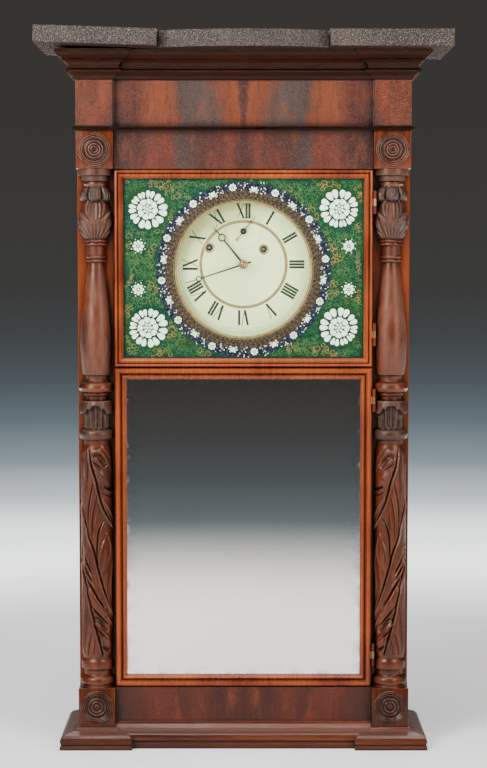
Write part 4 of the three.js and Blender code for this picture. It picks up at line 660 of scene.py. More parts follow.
# cuts of the carver's gouge on the unrolled surface of the left column (the right one is its mirror):
# kind, points as (degrees from the front, mm), half width and height in mm
shaftCuts = [
    # three leaf stems that wind down to the right; mm below the middle ring
    ("stem", [(-37, 4), (-24, 28), (-6, 49), (5, 69), (18, 87), (39, 102), (65, 115), (86, 124)], 1.9, 1.5),
    ("stem", [(-88, 74), (-66, 90), (-50, 107), (-34, 129), (-14, 148), (0, 172), (13, 192), (30, 212),
              (54, 231), (84, 248)], 1.9, 1.5),
    ("stem", [(-84, 160), (-58, 182), (-38, 210), (-20, 239), (-4, 263), (14, 291), (18, 297)], 1.9, 1.5),
    # curled lobes above the first stem
    ("hollow", [(-16, 17), (5, 15), (30, 22), (40, 30)], 3.4, -2.9),
    ("rib", [(-14, 12), (4, 8), (28, 13), (46, 26)], 2.2, 1.1),
    ("rib", [(-15, 18), (5, 23), (28, 30)], 1.5, 2.2),
    ("groove", [(-14, 22), (5, 28), (24, 34)], 1.5, -1.5),
    ("rib", [(-9, 30), (6, 37), (26, 48)], 1.8, 1.5),
    ("swell", [(-2, 38), (24, 46), (56, 50)], 5.5, 1.0),
    ("groove", [(12, 4), (35, 9), (60, 21), (76, 38)], 1.6, -1.0),
    ("groove", [(48, 27), (66, 40), (82, 52)], 1.6, -1.0),
    ("hollow", [(30, 58), (52, 62), (78, 63)], 2.6, -2.0),
    ("rib", [(28, 60), (55, 66), (80, 68)], 1.5, 1.4),
    ("groove", [(24, 66), (48, 71), (78, 74)], 1.5, -1.5),
    ("rib", [(22, 74), (45, 87), (66, 101), (80, 113)], 1.7, 1.2),
    ("groove", [(24, 82), (42, 97), (64, 110)], 1.4, -1.0),
    # long smooth blades between the first and second stems
    ("rib", [(-46, 6), (-48, 24), (-44, 44)], 2.4, 0.9),
    ("groove", [(-29, 14), (-34, 40), (-42, 64)], 1.6, -1.1),
    ("groove", [(-60, 14), (-66, 44), (-74, 72)], 1.6, -0.9),
    ("groove", [(-46, 46), (-54, 66), (-58, 86)], 1.6, -1.0),
    ("groove", [(-12, 50), (-22, 70), (-29, 88), (-31, 120)], 1.7, -1.6),
    ("rib", [(-7, 54), (-16, 74), (-23, 92), (-25, 114)], 1.7, 0.9),
    ("groove", [(3, 68), (-6, 86), (-14, 106), (-16, 134)], 1.6, -1.2),
    ("rib", [(5, 84), (-2, 102), (-9, 128)], 1.6, 0.9),
    ("groove", [(34, 103), (20, 111), (7, 124), (2, 150), (0, 166)], 1.8, -1.9),
    ("rib", [(43, 122), (26, 136), (13, 154), (6, 176)], 1.9, 1.4),
    ("rib", [(44, 122), (55, 140), (52, 154), (36, 172), (28, 186)], 1.8, 1.2),
    ("swell", [(42, 134), (32, 152), (22, 176)], 4.0, 0.7),
    ("groove", [(66, 132), (60, 160), (46, 190), (46, 216)], 1.7, -1.4),
    ("rib", [(76, 134), (68, 164), (58, 194), (62, 222)], 1.7, 0.9),
    # fan of curled lobes between the second and third stems
    ("rib", [(-62, 136), (-46, 148), (-30, 162), (-14, 176)], 1.7, 1.4),
    ("groove", [(-66, 142), (-48, 156), (-30, 170), (-14, 183)], 1.5, -1.6),
    ("rib", [(-66, 150), (-46, 164), (-26, 178), (-10, 191)], 1.6, 1.3),
    ("groove", [(-64, 158), (-42, 174), (-16, 190)], 1.5, -1.7),
    ("rib", [(-56, 170), (-34, 182), (-8, 198), (8, 210)], 1.9, 1.9),
    ("groove", [(-46, 184), (-20, 198), (8, 216), (30, 228)], 1.9, -2.4),
    ("swell", [(-35, 202), (-12, 214), (12, 226), (36, 240)], 4.6, 1.7),
    ("groove", [(-22, 225), (5, 236), (32, 247), (50, 252)], 1.8, -2.1),
    ("rib", [(-21, 230), (8, 240), (30, 249)], 1.5, 1.3),
    ("hollow", [(-12, 242), (8, 245), (28, 253), (46, 260)], 3.0, -2.6),
    ("rib", [(-20, 245), (0, 252), (22, 261), (46, 271)], 1.7, 2.2),
    ("groove", [(-10, 253), (14, 263), (44, 274)], 1.5, -1.6),
    ("rib", [(2, 260), (14, 268), (22, 277)], 1.6, 1.3),
    ("swell", [(26, 268), (46, 276), (64, 284)], 3.6, 1.1),
    ("hollow", [(22, 282), (40, 287), (58, 289)], 2.0, -2.2),
    ("rib", [(32, 234), (52, 246), (74, 259)], 1.6, 1.1),
    ("groove", [(36, 228), (56, 240), (76, 252)], 1.5, -1.3),
    ("hollow", [(60, 263), (78, 272)], 2.2, -1.6),
    # blades below the third stem
    ("groove", [(-36, 224), (-44, 252), (-52, 292)], 1.7, -1.5),
    ("rib", [(-46, 212), (-53, 246), (-61, 288)], 1.8, 0.9),
    ("groove", [(-57, 196), (-64, 236), (-70, 288)], 1.6, -1.1),
    ("rib", [(-26, 246), (-34, 268), (-42, 294)], 1.6, 0.9),
    ("groove", [(-18, 262), (-29, 280), (-36, 296)], 1.6, -1.4),
    ("groove", [(-4, 272), (-10, 286), (-14, 297)], 1.4, -1.0),
]
# half of the acanthus cup below the rolled tips, mirrored about its middle; mm above the ring under it
bulbCuts = [
    ("groove", [(0, 57), (0, 42), (0, 27)], 1.3, -0.8),
    ("rib", [(7, 57), (9, 42), (7, 24)], 1.9, 1.0),
    ("groove", [(15, 56), (16, 42), (11, 27)], 1.4, -1.2),
    ("rib", [(23, 55), (24, 43), (16, 28)], 2.1, 1.1),
    ("groove", [(33, 54), (33, 45), (22, 33)], 1.5, -1.1),
    ("rib", [(46, 53), (44, 46), (32, 37)], 2.1, 0.9),
    ("groove", [(78, 46), (60, 41), (42, 35), (25, 29), (14, 25)], 1.9, -2.5),
    ("rib", [(82, 40), (62, 36.5), (45, 31), (28, 25.5), (17, 21)], 1.8, 1.9),
    ("rib", [(0, 1), (0, 12), (0, 25)], 1.4, 1.4),
    ("groove", [(5.5, 1), (6.5, 12), (7, 23)], 1.2, -1.7),
    ("rib", [(10.5, 1), (13, 12), (15, 21)], 1.5, 1.2),
    ("groove", [(15.5, 1), (20, 12), (25, 22)], 1.3, -1.6),
    ("rib", [(20, 1), (28, 12), (36, 23), (42, 28)], 1.5, 1.3),
    ("groove", [(25, 1), (37, 12), (48, 21), (54, 28)], 1.4, -1.7),
    ("rib", [(30, 2), (46, 11), (60, 19), (68, 27)], 1.6, 1.5),
    ("groove", [(36, 2), (54, 10), (68, 16), (78, 23)], 1.4, -1.7),
    ("rib", [(42, 2), (60, 8), (75, 13), (86, 19)], 1.6, 1.4),
    ("groove", [(49, 2), (66, 5.5), (82, 10)], 1.4, -1.3),
]


def smoothPath(path, parts=4):
    # a soft curve through the given points
    points = np.array([path[0]] + list(path) + [path[-1]], float)
    curve = []
    for a, b, c, d in zip(points[:-3], points[1:-2], points[2:-1], points[3:]):
        for k in range(parts):
            t = k / parts
            curve.append(0.5 * (2 * b + (c - a) * t + (2 * a - 5 * b + 4 * c - d) * t ** 2
                                + (3 * b - a - 3 * c + d) * t ** 3))
    curve.append(points[-1])
    return curve


def carveCuts(cuts, degrees, drop, arc):
    # height of all cuts over a grid, in mm; arc is the length of one degree
    relief = np.zeros((len(drop), len(degrees)))
    for kind, path, width, height in cuts:
        curve = smoothPath(path)
        ups = [p[1] for p in curve]
        rows = np.where((drop > min(ups) - 4 * width) & (drop < max(ups) + 4 * width))[0]
        if not len(rows):
            continue
        turn, up = np.meshgrid(degrees * arc, drop[rows])
        near = np.full(turn.shape, 1e9)
        along, side = np.zeros(turn.shape), np.zeros(turn.shape)
        for k, (a, b) in enumerate(zip(curve[:-1], curve[1:])):
            dx, dy = (b[0] - a[0]) * arc, b[1] - a[1]
            px, py = turn - a[0] * arc, up - a[1]
            t = np.clip((px * dx + py * dy) / max(dx * dx + dy * dy, 1e-9), 0, 1)
            away = np.hypot(px - t * dx, py - t * dy)
            closer = away < near
            near = np.where(closer, away, near)
            along = np.where(closer, (k + t) / (len(curve) - 1), along)
            side = np.where(closer, np.sign(px * dy - py * dx), side)
        taper = np.clip(np.sin(math.pi * along), 0, 1) ** 0.5
        if kind in ("rib", "groove"):
            form = np.clip(1 - near / width, 0, 1) ** 1.3
        elif kind == "stem":
            # a raised stem with a deep cut along its upper side
            taper = np.clip(np.minimum(along, 1 - along) * 12, 0, 1)
            form = np.clip(1 - near / width, 0, 1) ** 1.3 - 1.3 * np.exp(-((near * side - 2.6) / 1.0) ** 2)
        else:
            form = np.exp(-(near / width) ** 2)
        relief[rows] += form * taper * height
    return relief


def rolledTips(share, degrees):
    # three rolled leaf tips over the neck: how far they stand out, in mm
    start, end = column["tipShares"]
    t = np.clip((share - start) / (end - start), 0, 1)
    leaf = degrees / column["tipDegrees"] + 0.5
    local = (leaf - np.floor(leaf) - 0.5) * 2
    width = 0.90 + 0.14 * math.sin(math.pi * t)
    body = np.clip(1 - np.abs(local / width) ** 3.4, 0, 1) ** 0.7
    low = 0.14 * local ** 2
    roll = np.sin(math.pi * np.clip((t - low) / (1 - low), 0, 1) ** 0.72)
    roll = np.clip(roll, 0, 1) ** 0.55
    creases = 0.35 * np.cos(local * 17) + 0.8 * ridge(np.abs(local), 0.66, 0.10)
    return body * roll * (column["tipReach"] + creases - 0.9 * ridge(t, 0.70, 0.08))


def archedLip(share, degrees, radius):
    # thick lip of the middle leaf band: an arch in front, drooping tips beside it
    start, end = column["lipShares"]
    t = (share - start) / (end - start)
    if t < 0 or t > 1:
        return np.zeros(len(degrees))
    low = np.interp(np.abs(degrees), *np.array(lipEdge).T)
    inside = step(t, low - 0.03, low + 0.07)
    over = np.clip((t - low) / (1 - low), 0, 1)
    lip = (0.985 - 0.10 * over ** 2) * column["radius"] + 0.35 * np.cos(degrees / 9.0)
    flutes = 1.5 * np.cos(np.abs(degrees) / 12.5 * math.pi)
    flutes = flutes - 2.4 * ridge(degrees, 0, 17) * step(t, 0.15, 0.45)
    return inside * (lip - radius) + flutes * step(t, 0.0, 0.10) * (1 - inside)


def blurred(grid, wide):
    # average over a square window
    kernel = np.ones(wide) / wide
    padded = np.pad(grid, wide // 2, "edge")
    padded = np.apply_along_axis(np.convolve, 0, padded, kernel, "valid")
    return np.apply_along_axis(np.convolve, 1, padded, kernel, "valid")


def buildColumn(side, word):
    c = column
    tall = c["head"] - c["foot"]
    rows = int(tall / c["rowStep"])
    shares = {round(i / rows, 5) for i in range(rows + 1)} | {share for share, radius in columnOutline}
    shares = np.array(sorted(shares))
    outline = np.array(columnOutline)
    radii = np.interp(shares, outline[:, 0], outline[:, 1]) * c["radius"]
    angles = (np.arange(c["around"] + 1) / c["around"] - 0.5) * math.pi
    degrees = -side * np.degrees(angles)
    arc = c["meanShare"] * c["radius"] * math.pi / 180
    drop = (c["shaftShares"][3] - shares) * tall + c["shift"][word] * np.sin(shares * c["waver"])
    cut = carveCuts(shaftCuts, degrees, drop, arc)
    relief = cut * plateau(shares, *c["shaftShares"])[:, None] * c["relief"]
    cup = (shares - c["cupShares"][0]) * tall
    inCup = plateau(shares, *c["cupShares"])
    mirroredCuts = bulbCuts + [(kind, [(-a, up) for a, up in points], width, height)
                               for kind, points, width, height in bulbCuts if points[0][0] > 1]
    relief += blurred(carveCuts(mirroredCuts, degrees, cup, arc), 3) * inCup[:, None] * c["cupRelief"]
    for row, (share, radius) in enumerate(zip(shares, radii)):
        relief[row] += rolledTips(share, degrees) + archedLip(share, degrees, radius)
    edges = 1 - step(np.abs(angles), *c["calmTurn"])  # calm where the column meets the stile
    out = np.minimum(radii[:, None] + relief * (c["calmShare"] + (1 - c["calmShare"]) * edges), c["radius"])
    # painted shade and highlight: how far each point stands above its neighbours, read by the finish
    carve = np.clip(0.5 + (out - blurred(out, c["shadeWindow"])) / c["shadeDepth"], 0, 1).ravel()
    x = side * c["centreX"] + out * np.sin(angles)
    y = c["backY"] - out * np.cos(angles)
    y[:, 0] = y[:, -1] = c["backY"]
    z = c["foot"] + shares * tall
    body = Shape()
    body.grid([[(a * mm, b * mm, up * mm) for a, b in zip(xs, ys)] for xs, ys, up in zip(x, y, z)],
              closedAcross=True)
    across = c["around"] + 1
    body.faces.append(list(range(across)))
    body.faces.append([len(body.points) - across + i for i in range(across)])
    piece = makePiece("carved_column_" + word, body, columnWood, "case", creaseDegrees=60,
                      carve=carve)
    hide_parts("column_" + word)


for side, word in ((-1, "left"), (1, "right")):
    buildColumn(side, word)
print("columns carved")


# Corner blocks with turned rosettes

block = {"faceY": -36.0, "backY": -12.0, "edge": 0.9, "rosetteX": 205.0, "lowerCentre": 55.5,
         "radius": 23.6, "relief": 2.2, "around": 112, "ringStep": 0.0125,
         "shadeWindow": 13, "shadeBase": 0.27, "shadeGain": 2.7}
# rings from the middle out: share of the radius, share of the relief
outerRings = [
    (0.43, 0.28), (0.455, 0.66), (0.49, 0.90), (0.52, 0.74), (0.55, 0.30), (0.60, 0.12), (0.66, 0.20),
    (0.70, 0.60), (0.735, 0.84), (0.765, 0.60), (0.78, 0.46), (0.80, 0.74), (0.84, 1.0), (0.88, 0.84),
    (0.90, 0.60), (0.915, 0.74), (0.94, 0.88), (0.97, 0.70), (0.985, 0.34), (1.0, -0.05),
]
innerRings = {
    "upper": [(0, 0.10), (0.07, 0.02), (0.12, 0.10), (0.16, 0.42), (0.20, 0.55), (0.235, 0.42),
              (0.25, 0.30), (0.28, 0.62), (0.32, 0.88), (0.36, 0.80), (0.385, 0.35), (0.40, 0.22)],
    "lower": [(0, 0.98), (0.06, 0.94), (0.12, 0.78), (0.155, 0.52), (0.17, 0.22), (0.20, 0.16),
              (0.24, 0.20), (0.27, 0.60), (0.31, 0.82), (0.35, 0.62), (0.375, 0.24), (0.40, 0.18)],
}


def roundedBox(shape, low, high, edge):
    # six faces and chamfered edges, in metres
    box = bmesh.new()
    corners = [(x, y, z) for x in (low[0], high[0]) for y in (low[1], high[1]) for z in (low[2], high[2])]
    made = [box.verts.new(p) for p in corners]
    for ring in ((0, 1, 3, 2), (4, 6, 7, 5), (0, 4, 5, 1), (2, 3, 7, 6), (0, 2, 6, 4), (1, 5, 7, 3)):
        box.faces.new([made[i] for i in ring])
    bmesh.ops.bevel(box, geom=list(box.edges), offset=edge, segments=2, affect="EDGES", profile=0.6)
    box.verts.index_update()
    shape.add([tuple(v.co) for v in box.verts], [[v.index for v in f.verts] for f in box.faces])
    box.free()


def buildBlock(level, side, word):
    b = block
    nodeName = f"rosette_block_{level}_{word}"
    low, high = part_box(nodeName)
    shape = Shape()
    front, back = b["faceY"] * mm, b["backY"] * mm
    roundedBox(shape, [low[0], front, low[2]], [high[0], back, high[2]], b["edge"] * mm)
    carve = [0.5] * len(shape.points)
    shares = np.arange(0, 1.0001, b["ringStep"])
    heights = np.interp(shares, *np.array(innerRings[level] + outerRings).T)
    window = b["shadeWindow"]
    nearby = np.convolve(np.pad(heights, window // 2, "edge"), np.ones(window) / window, "valid")
    # painted shade in the rings' hollows, painted highlight on their crests, read by the finish
    shades = np.clip(b["shadeBase"] + (heights - nearby) * b["shadeGain"], 0, 1)
    for value in np.append(shades, 0.5):
        carve.extend([value] * b["around"])
    rings = [(share * b["radius"] * mm, -up * b["relief"] * mm) for share, up in zip(shares, heights)]
    rings.append((b["radius"] * mm, 0.002))
    centreZ = (low[2] + high[2]) / 2 if level == "upper" else b["lowerCentre"] * mm
    shape.lathe((side * b["rosetteX"] * mm, front, centreZ), rings, b["around"])
    piece = makePiece(nodeName.replace("rosette_block", "turned_rosette"), shape, blockWoods[level], "case",
                      creaseDegrees=60, carve=carve)
    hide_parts(nodeName)


for level in ("lower", "upper"):
    for side, word in ((-1, "left"), (1, "right")):
        buildBlock(level, side, word)
print("rosettes turned")


# Painted glass of the upper door: clear pane, painted sheet behind it, flowers and scrolls between

tablet = {
    "halfWidth": 171.9, "low": 538.6, "high": 797.4, "front": -19.7, "back": -18.0, "paintY": -17.9,
    "sheet": 0.35, "centreZ": 666.3, "hole": 92.5, "ringOuter": 121.0, "edge": 0.6, "margin": 0.5,
    "around": 240,
}


def squareRound(turn, halfX, low, high):
    # point of a rectangle's edge seen from the ring's centre
    sx, cz = math.sin(turn), math.cos(turn)
    up = high if cz > 0 else -low
    reach = min(halfX / max(abs(sx), 1e-9), up / max(abs(cz), 1e-9))
    return sx * reach, cz * reach


def tabletGround():
    # green round-holed ground, with a purple-brown ring and blue-black outer edge, all by distance
    paint = Finish("tablet_ground_paint")
    x, y, z = paint.axes()
    up = paint.sum("SUBTRACT", z, tablet["centreZ"] * mm)
    away = paint.fromMiddle(x, up)
    clouds = paint.noise(26, 4, 0.6)
    fine = paint.noise(420, 3, 0.65, warp=0.6)
    green = paint.ramp(clouds, [(0.38, (0.0004, 0.024, 0.022)), (0.50, (0.0008, 0.036, 0.014)),
                                (0.60, (0.008, 0.044, 0.008)), (0.70, (0.036, 0.036, 0.008))])
    green = paint.mix(paint.level(fine, 0.48, 0.60, 0.0, 0.80), green, (0.0006, 0.012, 0.008))
    green = paint.mix(paint.cracks(300, 0.04, 0.10, 0.6), green, (0.008, 0.060, 0.020))
    mottle = paint.level(paint.noise(330, 3, 0.6), 0.42, 0.58)
    brown = paint.mix(mottle, (0.006, 0.003, 0.004), (0.034, 0.018, 0.014))
    inner = paint.mix(paint.cracks(300, 0.04, 0.10, 0.6), brown, (0.10, 0.068, 0.036))
    navy = paint.mix(paint.level(fine, 0.45, 0.60), (0.0015, 0.002, 0.009), (0.008, 0.010, 0.040))
    wobble = paint.sum("ADD", away, paint.sum("MULTIPLY", paint.noise(120, 2, 0.5), 0.006))
    ring = paint.mix(paint.level(wobble, 0.1105, 0.1180), inner, navy)
    colour = paint.mix(paint.level(wobble, 0.1225, 0.1250), ring, green)
    return paint.set(BaseColor=colour, Roughness=paint.level(fine, 0.3, 0.7, 0.32, 0.5),
                     Normal=paint.bump(fine, 0.00004, 0.5), SpecularIORLevel=0.12)


def buildTablet():
    t = tablet
    pane = Shape()
    roundedBox(pane, [-t["halfWidth"] * mm, t["front"] * mm, t["low"] * mm],
               [t["halfWidth"] * mm, t["back"] * mm, t["high"] * mm], t["edge"] * mm)
    clear = paintedPiece("tablet_glass", pane, glass)
    turns = [i / t["around"] * tau for i in range(t["around"])]
    halfX = t["halfWidth"] - t["margin"]
    low, high = t["low"] + t["margin"] - t["centreZ"], t["high"] - t["margin"] - t["centreZ"]
    edgeRow = [squareRound(a, halfX, low, high) for a in turns]
    # slide the nearest points onto the four corners
    for cx, cz in ((halfX, high), (halfX, low), (-halfX, low), (-halfX, high)):
        gaps = [(x - cx) ** 2 + (z - cz) ** 2 for x, z in edgeRow]
        edgeRow[gaps.index(min(gaps))] = (cx, cz)
    front, back = t["paintY"], t["paintY"] + t["sheet"]
    rows = []
    for share, depth in ((0, back), (0, front), (0.25, front), (0.5, front), (1, front), (1, back)):
        row = []
        for a, (ex, ez) in zip(turns, edgeRow):
            ix, iz = t["hole"] * math.sin(a), t["hole"] * math.cos(a)
            z = t["centreZ"] + iz + (ez - iz) * share
            row.append(((ix + (ex - ix) * share) * mm, depth * mm, z * mm))
        rows.append(row)
    sheet = Shape()
    sheet.grid(rows, closedAcross=True, closedAlong=True)
    ground = paintedPiece("tablet_ground", sheet, tabletGround())
    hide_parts("painted_tablet")
    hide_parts("painted_tablet")


buildTablet()

petalWhite = paintLine("petal_paint", (0.84, 1.0, 0.76), (0.66, 0.90, 0.58), 160, 0.4)
petalEdge = paintLine("petal_outline_paint", (0.001, 0.016, 0.009), (0.003, 0.040, 0.020), 300)
goldLine = paintLine("gold_scroll_paint", (0.30, 0.19, 0.055), (0.12, 0.17, 0.040), 60, 0.38)
greenLine = paintLine("green_scroll_paint", (0.012, 0.110, 0.031), (0.092, 0.152, 0.044), 60, 0.4)
leafLine = paintLine("leaf_stroke_paint", (0.004, 0.078, 0.031), (0.092, 0.130, 0.026), 42, 0.4)
deepLine = paintLine("deep_stroke_paint", (0.0008, 0.010, 0.010), (0.002, 0.028, 0.020), 60, 0.4)
paleLine = paintLine("lace_paint", (0.155, 0.118, 0.066), (0.058, 0.036, 0.021), 160, 0.4)
mauveLine = paintLine("outer_lace_paint", (0.105, 0.090, 0.140), (0.030, 0.026, 0.058), 120, 0.4)
tanLine = paintLine("tan_ring_paint", (0.22, 0.18, 0.070), (0.30, 0.25, 0.105), 200, 0.4)
giltLine = paintLine("tablet_ring_gold", (0.28, 0.215, 0.080), (0.18, 0.13, 0.045), 150, 0.32)

flower = {
    "big": [(-133, 750), (133, 750), (-133, 586), (133, 586)],
    "small": [(-146, 699), (146, 699), (-146, 639), (146, 639)],
    "bigRadius": 28.5, "pairs": 9, "smallRadius": 8.4, "smallPetals": 8, "dotRadius": 0.75,
    "dotAt": 1.18, "shadow": 0.80, "uneven": 0.22, "petalRoot": 0.56, "petalLeans": (0.28, 0.72),
    "paintY": -18.35, "thick": 0.16,
    # rings of the rose, as shares of the radius: inner, outer, petals, their width, their lean
    "rose": [(0.24, 0.51, 8, 0.31, 0.30), (0.09, 0.22, 6, 0.13, 0.2), (0.0, 0.07, 4, 0.07, 0)],
}


def petalOutline(centre, turn, inner, outer, width, blunt, steps=14):
    # rounded petal along a turn (clockwise from up), narrow at its root
    points = []
    for i in range(steps + 1):
        s = i / steps
        spread = width / 2 * (0.34 + 0.66 * math.sin(min(s / 0.70, 1) * math.pi / 2))
        if s > 0.66:
            spread *= math.sqrt(max(0.0, 1 - ((s - 0.66) / 0.34) ** 2)) ** blunt
        points.append((inner + (outer - inner) * s, spread))
    ring = points + [(a, -b) for a, b in reversed(points[:-1])]
    sx, cz = math.sin(turn), math.cos(turn)
    return [(centre[0] + a * sx + b * cz, centre[1] + a * cz - b * sx) for a, b in ring]


def layPaint(shape, outline, depth=flower["paintY"], thick=flower["thick"]):
    # a closed patch of paint standing a hair proud, in mm
    shape.plate([(x * mm, z * mm) for x, z in outline], (depth - thick) * mm, depth * mm)


def smallFlower(shape, centre, radius, rng):
    twist = rng.uniform(0, 0.4)
    for i in range(flower["smallPetals"]):
        middle = twist + i / flower["smallPetals"] * tau
        reach = radius * rng.uniform(0.9, 1.0)
        layPaint(shape, petalOutline(centre, middle, radius * 0.30, reach, radius * 0.46, 0.5, 7))
    layPaint(shape, circlePath(radius * 0.17, centre, 10)[:-1])


def buildFlowers():
    f = flower
    rng = random.Random(7)
    under, petals = Shape(), Shape()
    r, pairs = f["bigRadius"], f["pairs"]
    for x, z in f["big"]:
        turn = rng.uniform(0, tau)
        layPaint(under, circlePath(r * f["shadow"], (x, z), 48)[:-1], f["paintY"] + f["thick"])
        # outer petals in pairs, larger towards one side
        sizes = [1 + f["uneven"] * math.cos(i / pairs * tau) + rng.uniform(-0.06, 0.06)
                 for i in range(pairs)]
        for size in sizes:
            wide = size / sum(sizes) * tau
            outer = r * min(1.0, 0.90 + 0.10 * (size - 0.8) / 0.4) * rng.uniform(0.97, 1.0)
            across = 2 * math.tan(wide * 0.205) * outer * 0.86
            for lean in f["petalLeans"]:
                outline = petalOutline((x, z), turn + wide * lean, r * f["petalRoot"], outer, across, 1.0)
                layPaint(petals, outline)
            turn += wide
        # rose of leaning petals in the middle
        for inner, outer, count, width, tilt in f["rose"]:
            twist = rng.uniform(0, tau)
            for i in range(count):
                middle = twist + i / count * tau
                root = (x + r * inner * math.sin(middle), z + r * inner * math.cos(middle))
                reach = r * (outer - inner)
                layPaint(petals, petalOutline(root, middle + tilt, 0, reach, r * width, 0.45, 9))
    r = f["smallRadius"]
    for x, z in f["small"]:
        smallFlower(petals, (x, z), r, rng)
        # a dot beyond each gap between two petals
        for i in range(8):
            turn = (i + 0.5) / 8 * tau
            dot = (x + math.sin(turn) * r * f["dotAt"], z + math.cos(turn) * r * f["dotAt"])
            layPaint(petals, circlePath(f["dotRadius"], dot, 8)[:-1])
    paintedPiece("tablet_flowers", petals, petalWhite)
    paintedPiece("tablet_flower_shadows", under, petalEdge)


ringWreath = {
    "count": 24, "flowerAt": 114.6, "flowerRadius": 5.6, "tulipAt": 113.0, "tulipSize": 7.2,
    "tulipBlunt": 0.6, "leaves": 9,
    "thread": 0.6, "threadThick": 0.08, "threadBehind": 0.22, "goldThick": 0.1, "goldBehind": 0.2,
    # radius of each row of curls, size of a curl
    "lace": [(99.4, 2.0), (103.4, 1.8), (107.0, 1.7)],
    "outerLace": [(111.5, 1.7), (115.4, 1.7), (119.2, 1.6)],
    # radius and width
    "goldRings": [(94.1, 3.0), (97.0, 0.5)],
    # petals and thin leaves of a tulip: lean, root, reach, width, steps
    "tulip": [(0, 0.12, 1.10, 0.34, 8), (-0.42, 0.12, 1.28, 0.34, 8), (0.42, 0.12, 1.28, 0.34, 8),
              (-0.95, 0.35, 1.12, 0.20, 7), (0.95, 0.35, 1.12, 0.20, 7), (-1.45, 0.35, 0.8, 0.20, 7),
              (1.45, 0.35, 0.8, 0.20, 7)],
}


def ringSpot(radius, turn):
    return radius * math.sin(turn), tablet["centreZ"] + radius * math.cos(turn)


def curlPath(centre, size, begin, hand, bend, count):
    # a small curl that tightens as it winds
    path = []
    for s in range(count):
        reach, turn = size * (1 - s / 16), begin + hand * s * bend
        path.append((centre[0] + reach * math.sin(turn), centre[1] + reach * math.cos(turn)))
    return path


def buildWreath():
    w = ringWreath
    rng = random.Random(11)
    petals, lace, outerLace, gold = Shape(), Shape(), Shape(), Shape()
    for i in range(w["count"]):
        turn = (i + 0.5) / w["count"] * tau
        if i % 2:
            smallFlower(petals, ringSpot(w["flowerAt"], turn), w["flowerRadius"], rng)
        else:
            size = w["tulipSize"]
            base = ringSpot(w["tulipAt"] - size * 0.75, turn)
            for lean, root, reach, width, steps in w["tulip"]:
                outline = petalOutline(base, turn + lean, size * root, size * reach, size * width,
                                       w["tulipBlunt"], steps)
                layPaint(petals, outline)
        for k in range(w["leaves"]):
            # loose leaves between the flowers, some over the outer edge
            leafTurn = turn + tau / w["count"] / 2 + rng.uniform(-0.062, 0.062)
            spot = ringSpot(w["flowerAt"] + rng.uniform(-6.0, 7.0), leafTurn)
            lean, reach, width = rng.uniform(0, tau), rng.uniform(1.4, 3.2), rng.uniform(0.7, 1.2)
            layPaint(petals, petalOutline(spot, lean, 0, reach, width, 0.7, 5), flower["paintY"] + 0.02)
    # lace of small curls between the gold line and the flowers
    depth = flower["paintY"] + w["threadBehind"]
    curls = w["count"] * 4
    for i in range(curls):
        for radius, size in w["lace"]:
            shift = 0.5 * tau / curls * (radius > 100)
            begin, hand = rng.uniform(0, tau), rng.choice((-1, 1))
            path = curlPath(ringSpot(radius, i / curls * tau + shift), size, begin, hand, 0.48, 14)
            lace.ribbon(path, w["thread"], depth, w["threadThick"])
    # and more between and behind the flowers
    for i in range(curls):
        for radius, size in w["outerLace"]:
            turn = (i + rng.uniform(-0.3, 0.3)) / curls * tau
            begin, hand = rng.uniform(0, tau), rng.choice((-1, 1))
            path = curlPath(ringSpot(radius, turn), size, begin, hand, 0.5, 12)
            outerLace.ribbon(path, w["thread"], depth, w["threadThick"])
    goldDepth = flower["paintY"] + w["goldBehind"]
    for radius, width in w["goldRings"]:
        path = circlePath(radius, (0, tablet["centreZ"]), 240)
        gold.ribbon(path, width, goldDepth, w["goldThick"])
    paintedPiece("tablet_wreath", petals, petalWhite)
    paintedPiece("tablet_lace", lace, paleLine, smooth=True)
    paintedPiece("tablet_outer_lace", outerLace, mauveLine, smooth=True)
    paintedPiece("tablet_gold_ring", gold, giltLine, smooth=True)


scroll = {
    "tries": 9000, "sizes": (1.9, 5.2), "marginX": 7, "marginZ": 6, "behind": 0.22, "thick": 0.08,
    "steps": 30, "leaves": 4, "clear": 0.8, "spacing": 0.68,
    # a tendril starts at this share of its size, tightens by that one, over so many half turns
    "start": 1.05, "tighten": 0.80, "halfTurns": 2.3, "thin": 0.22, "swell": 0.48,
}
brush = {
    "marginX": 8.5, "marginZ": 7.5, "bend": 1.2, "lengths": (1.8, 3.6), "thick": 0.05,
    # piece, finish, tries, depth behind the flowers, width
    "kinds": [("tablet_deep_strokes", deepLine, 2600, 0.20, 0.75),
              ("tablet_leaf_strokes", leafLine, 6500, 0.24, 0.65)],
}


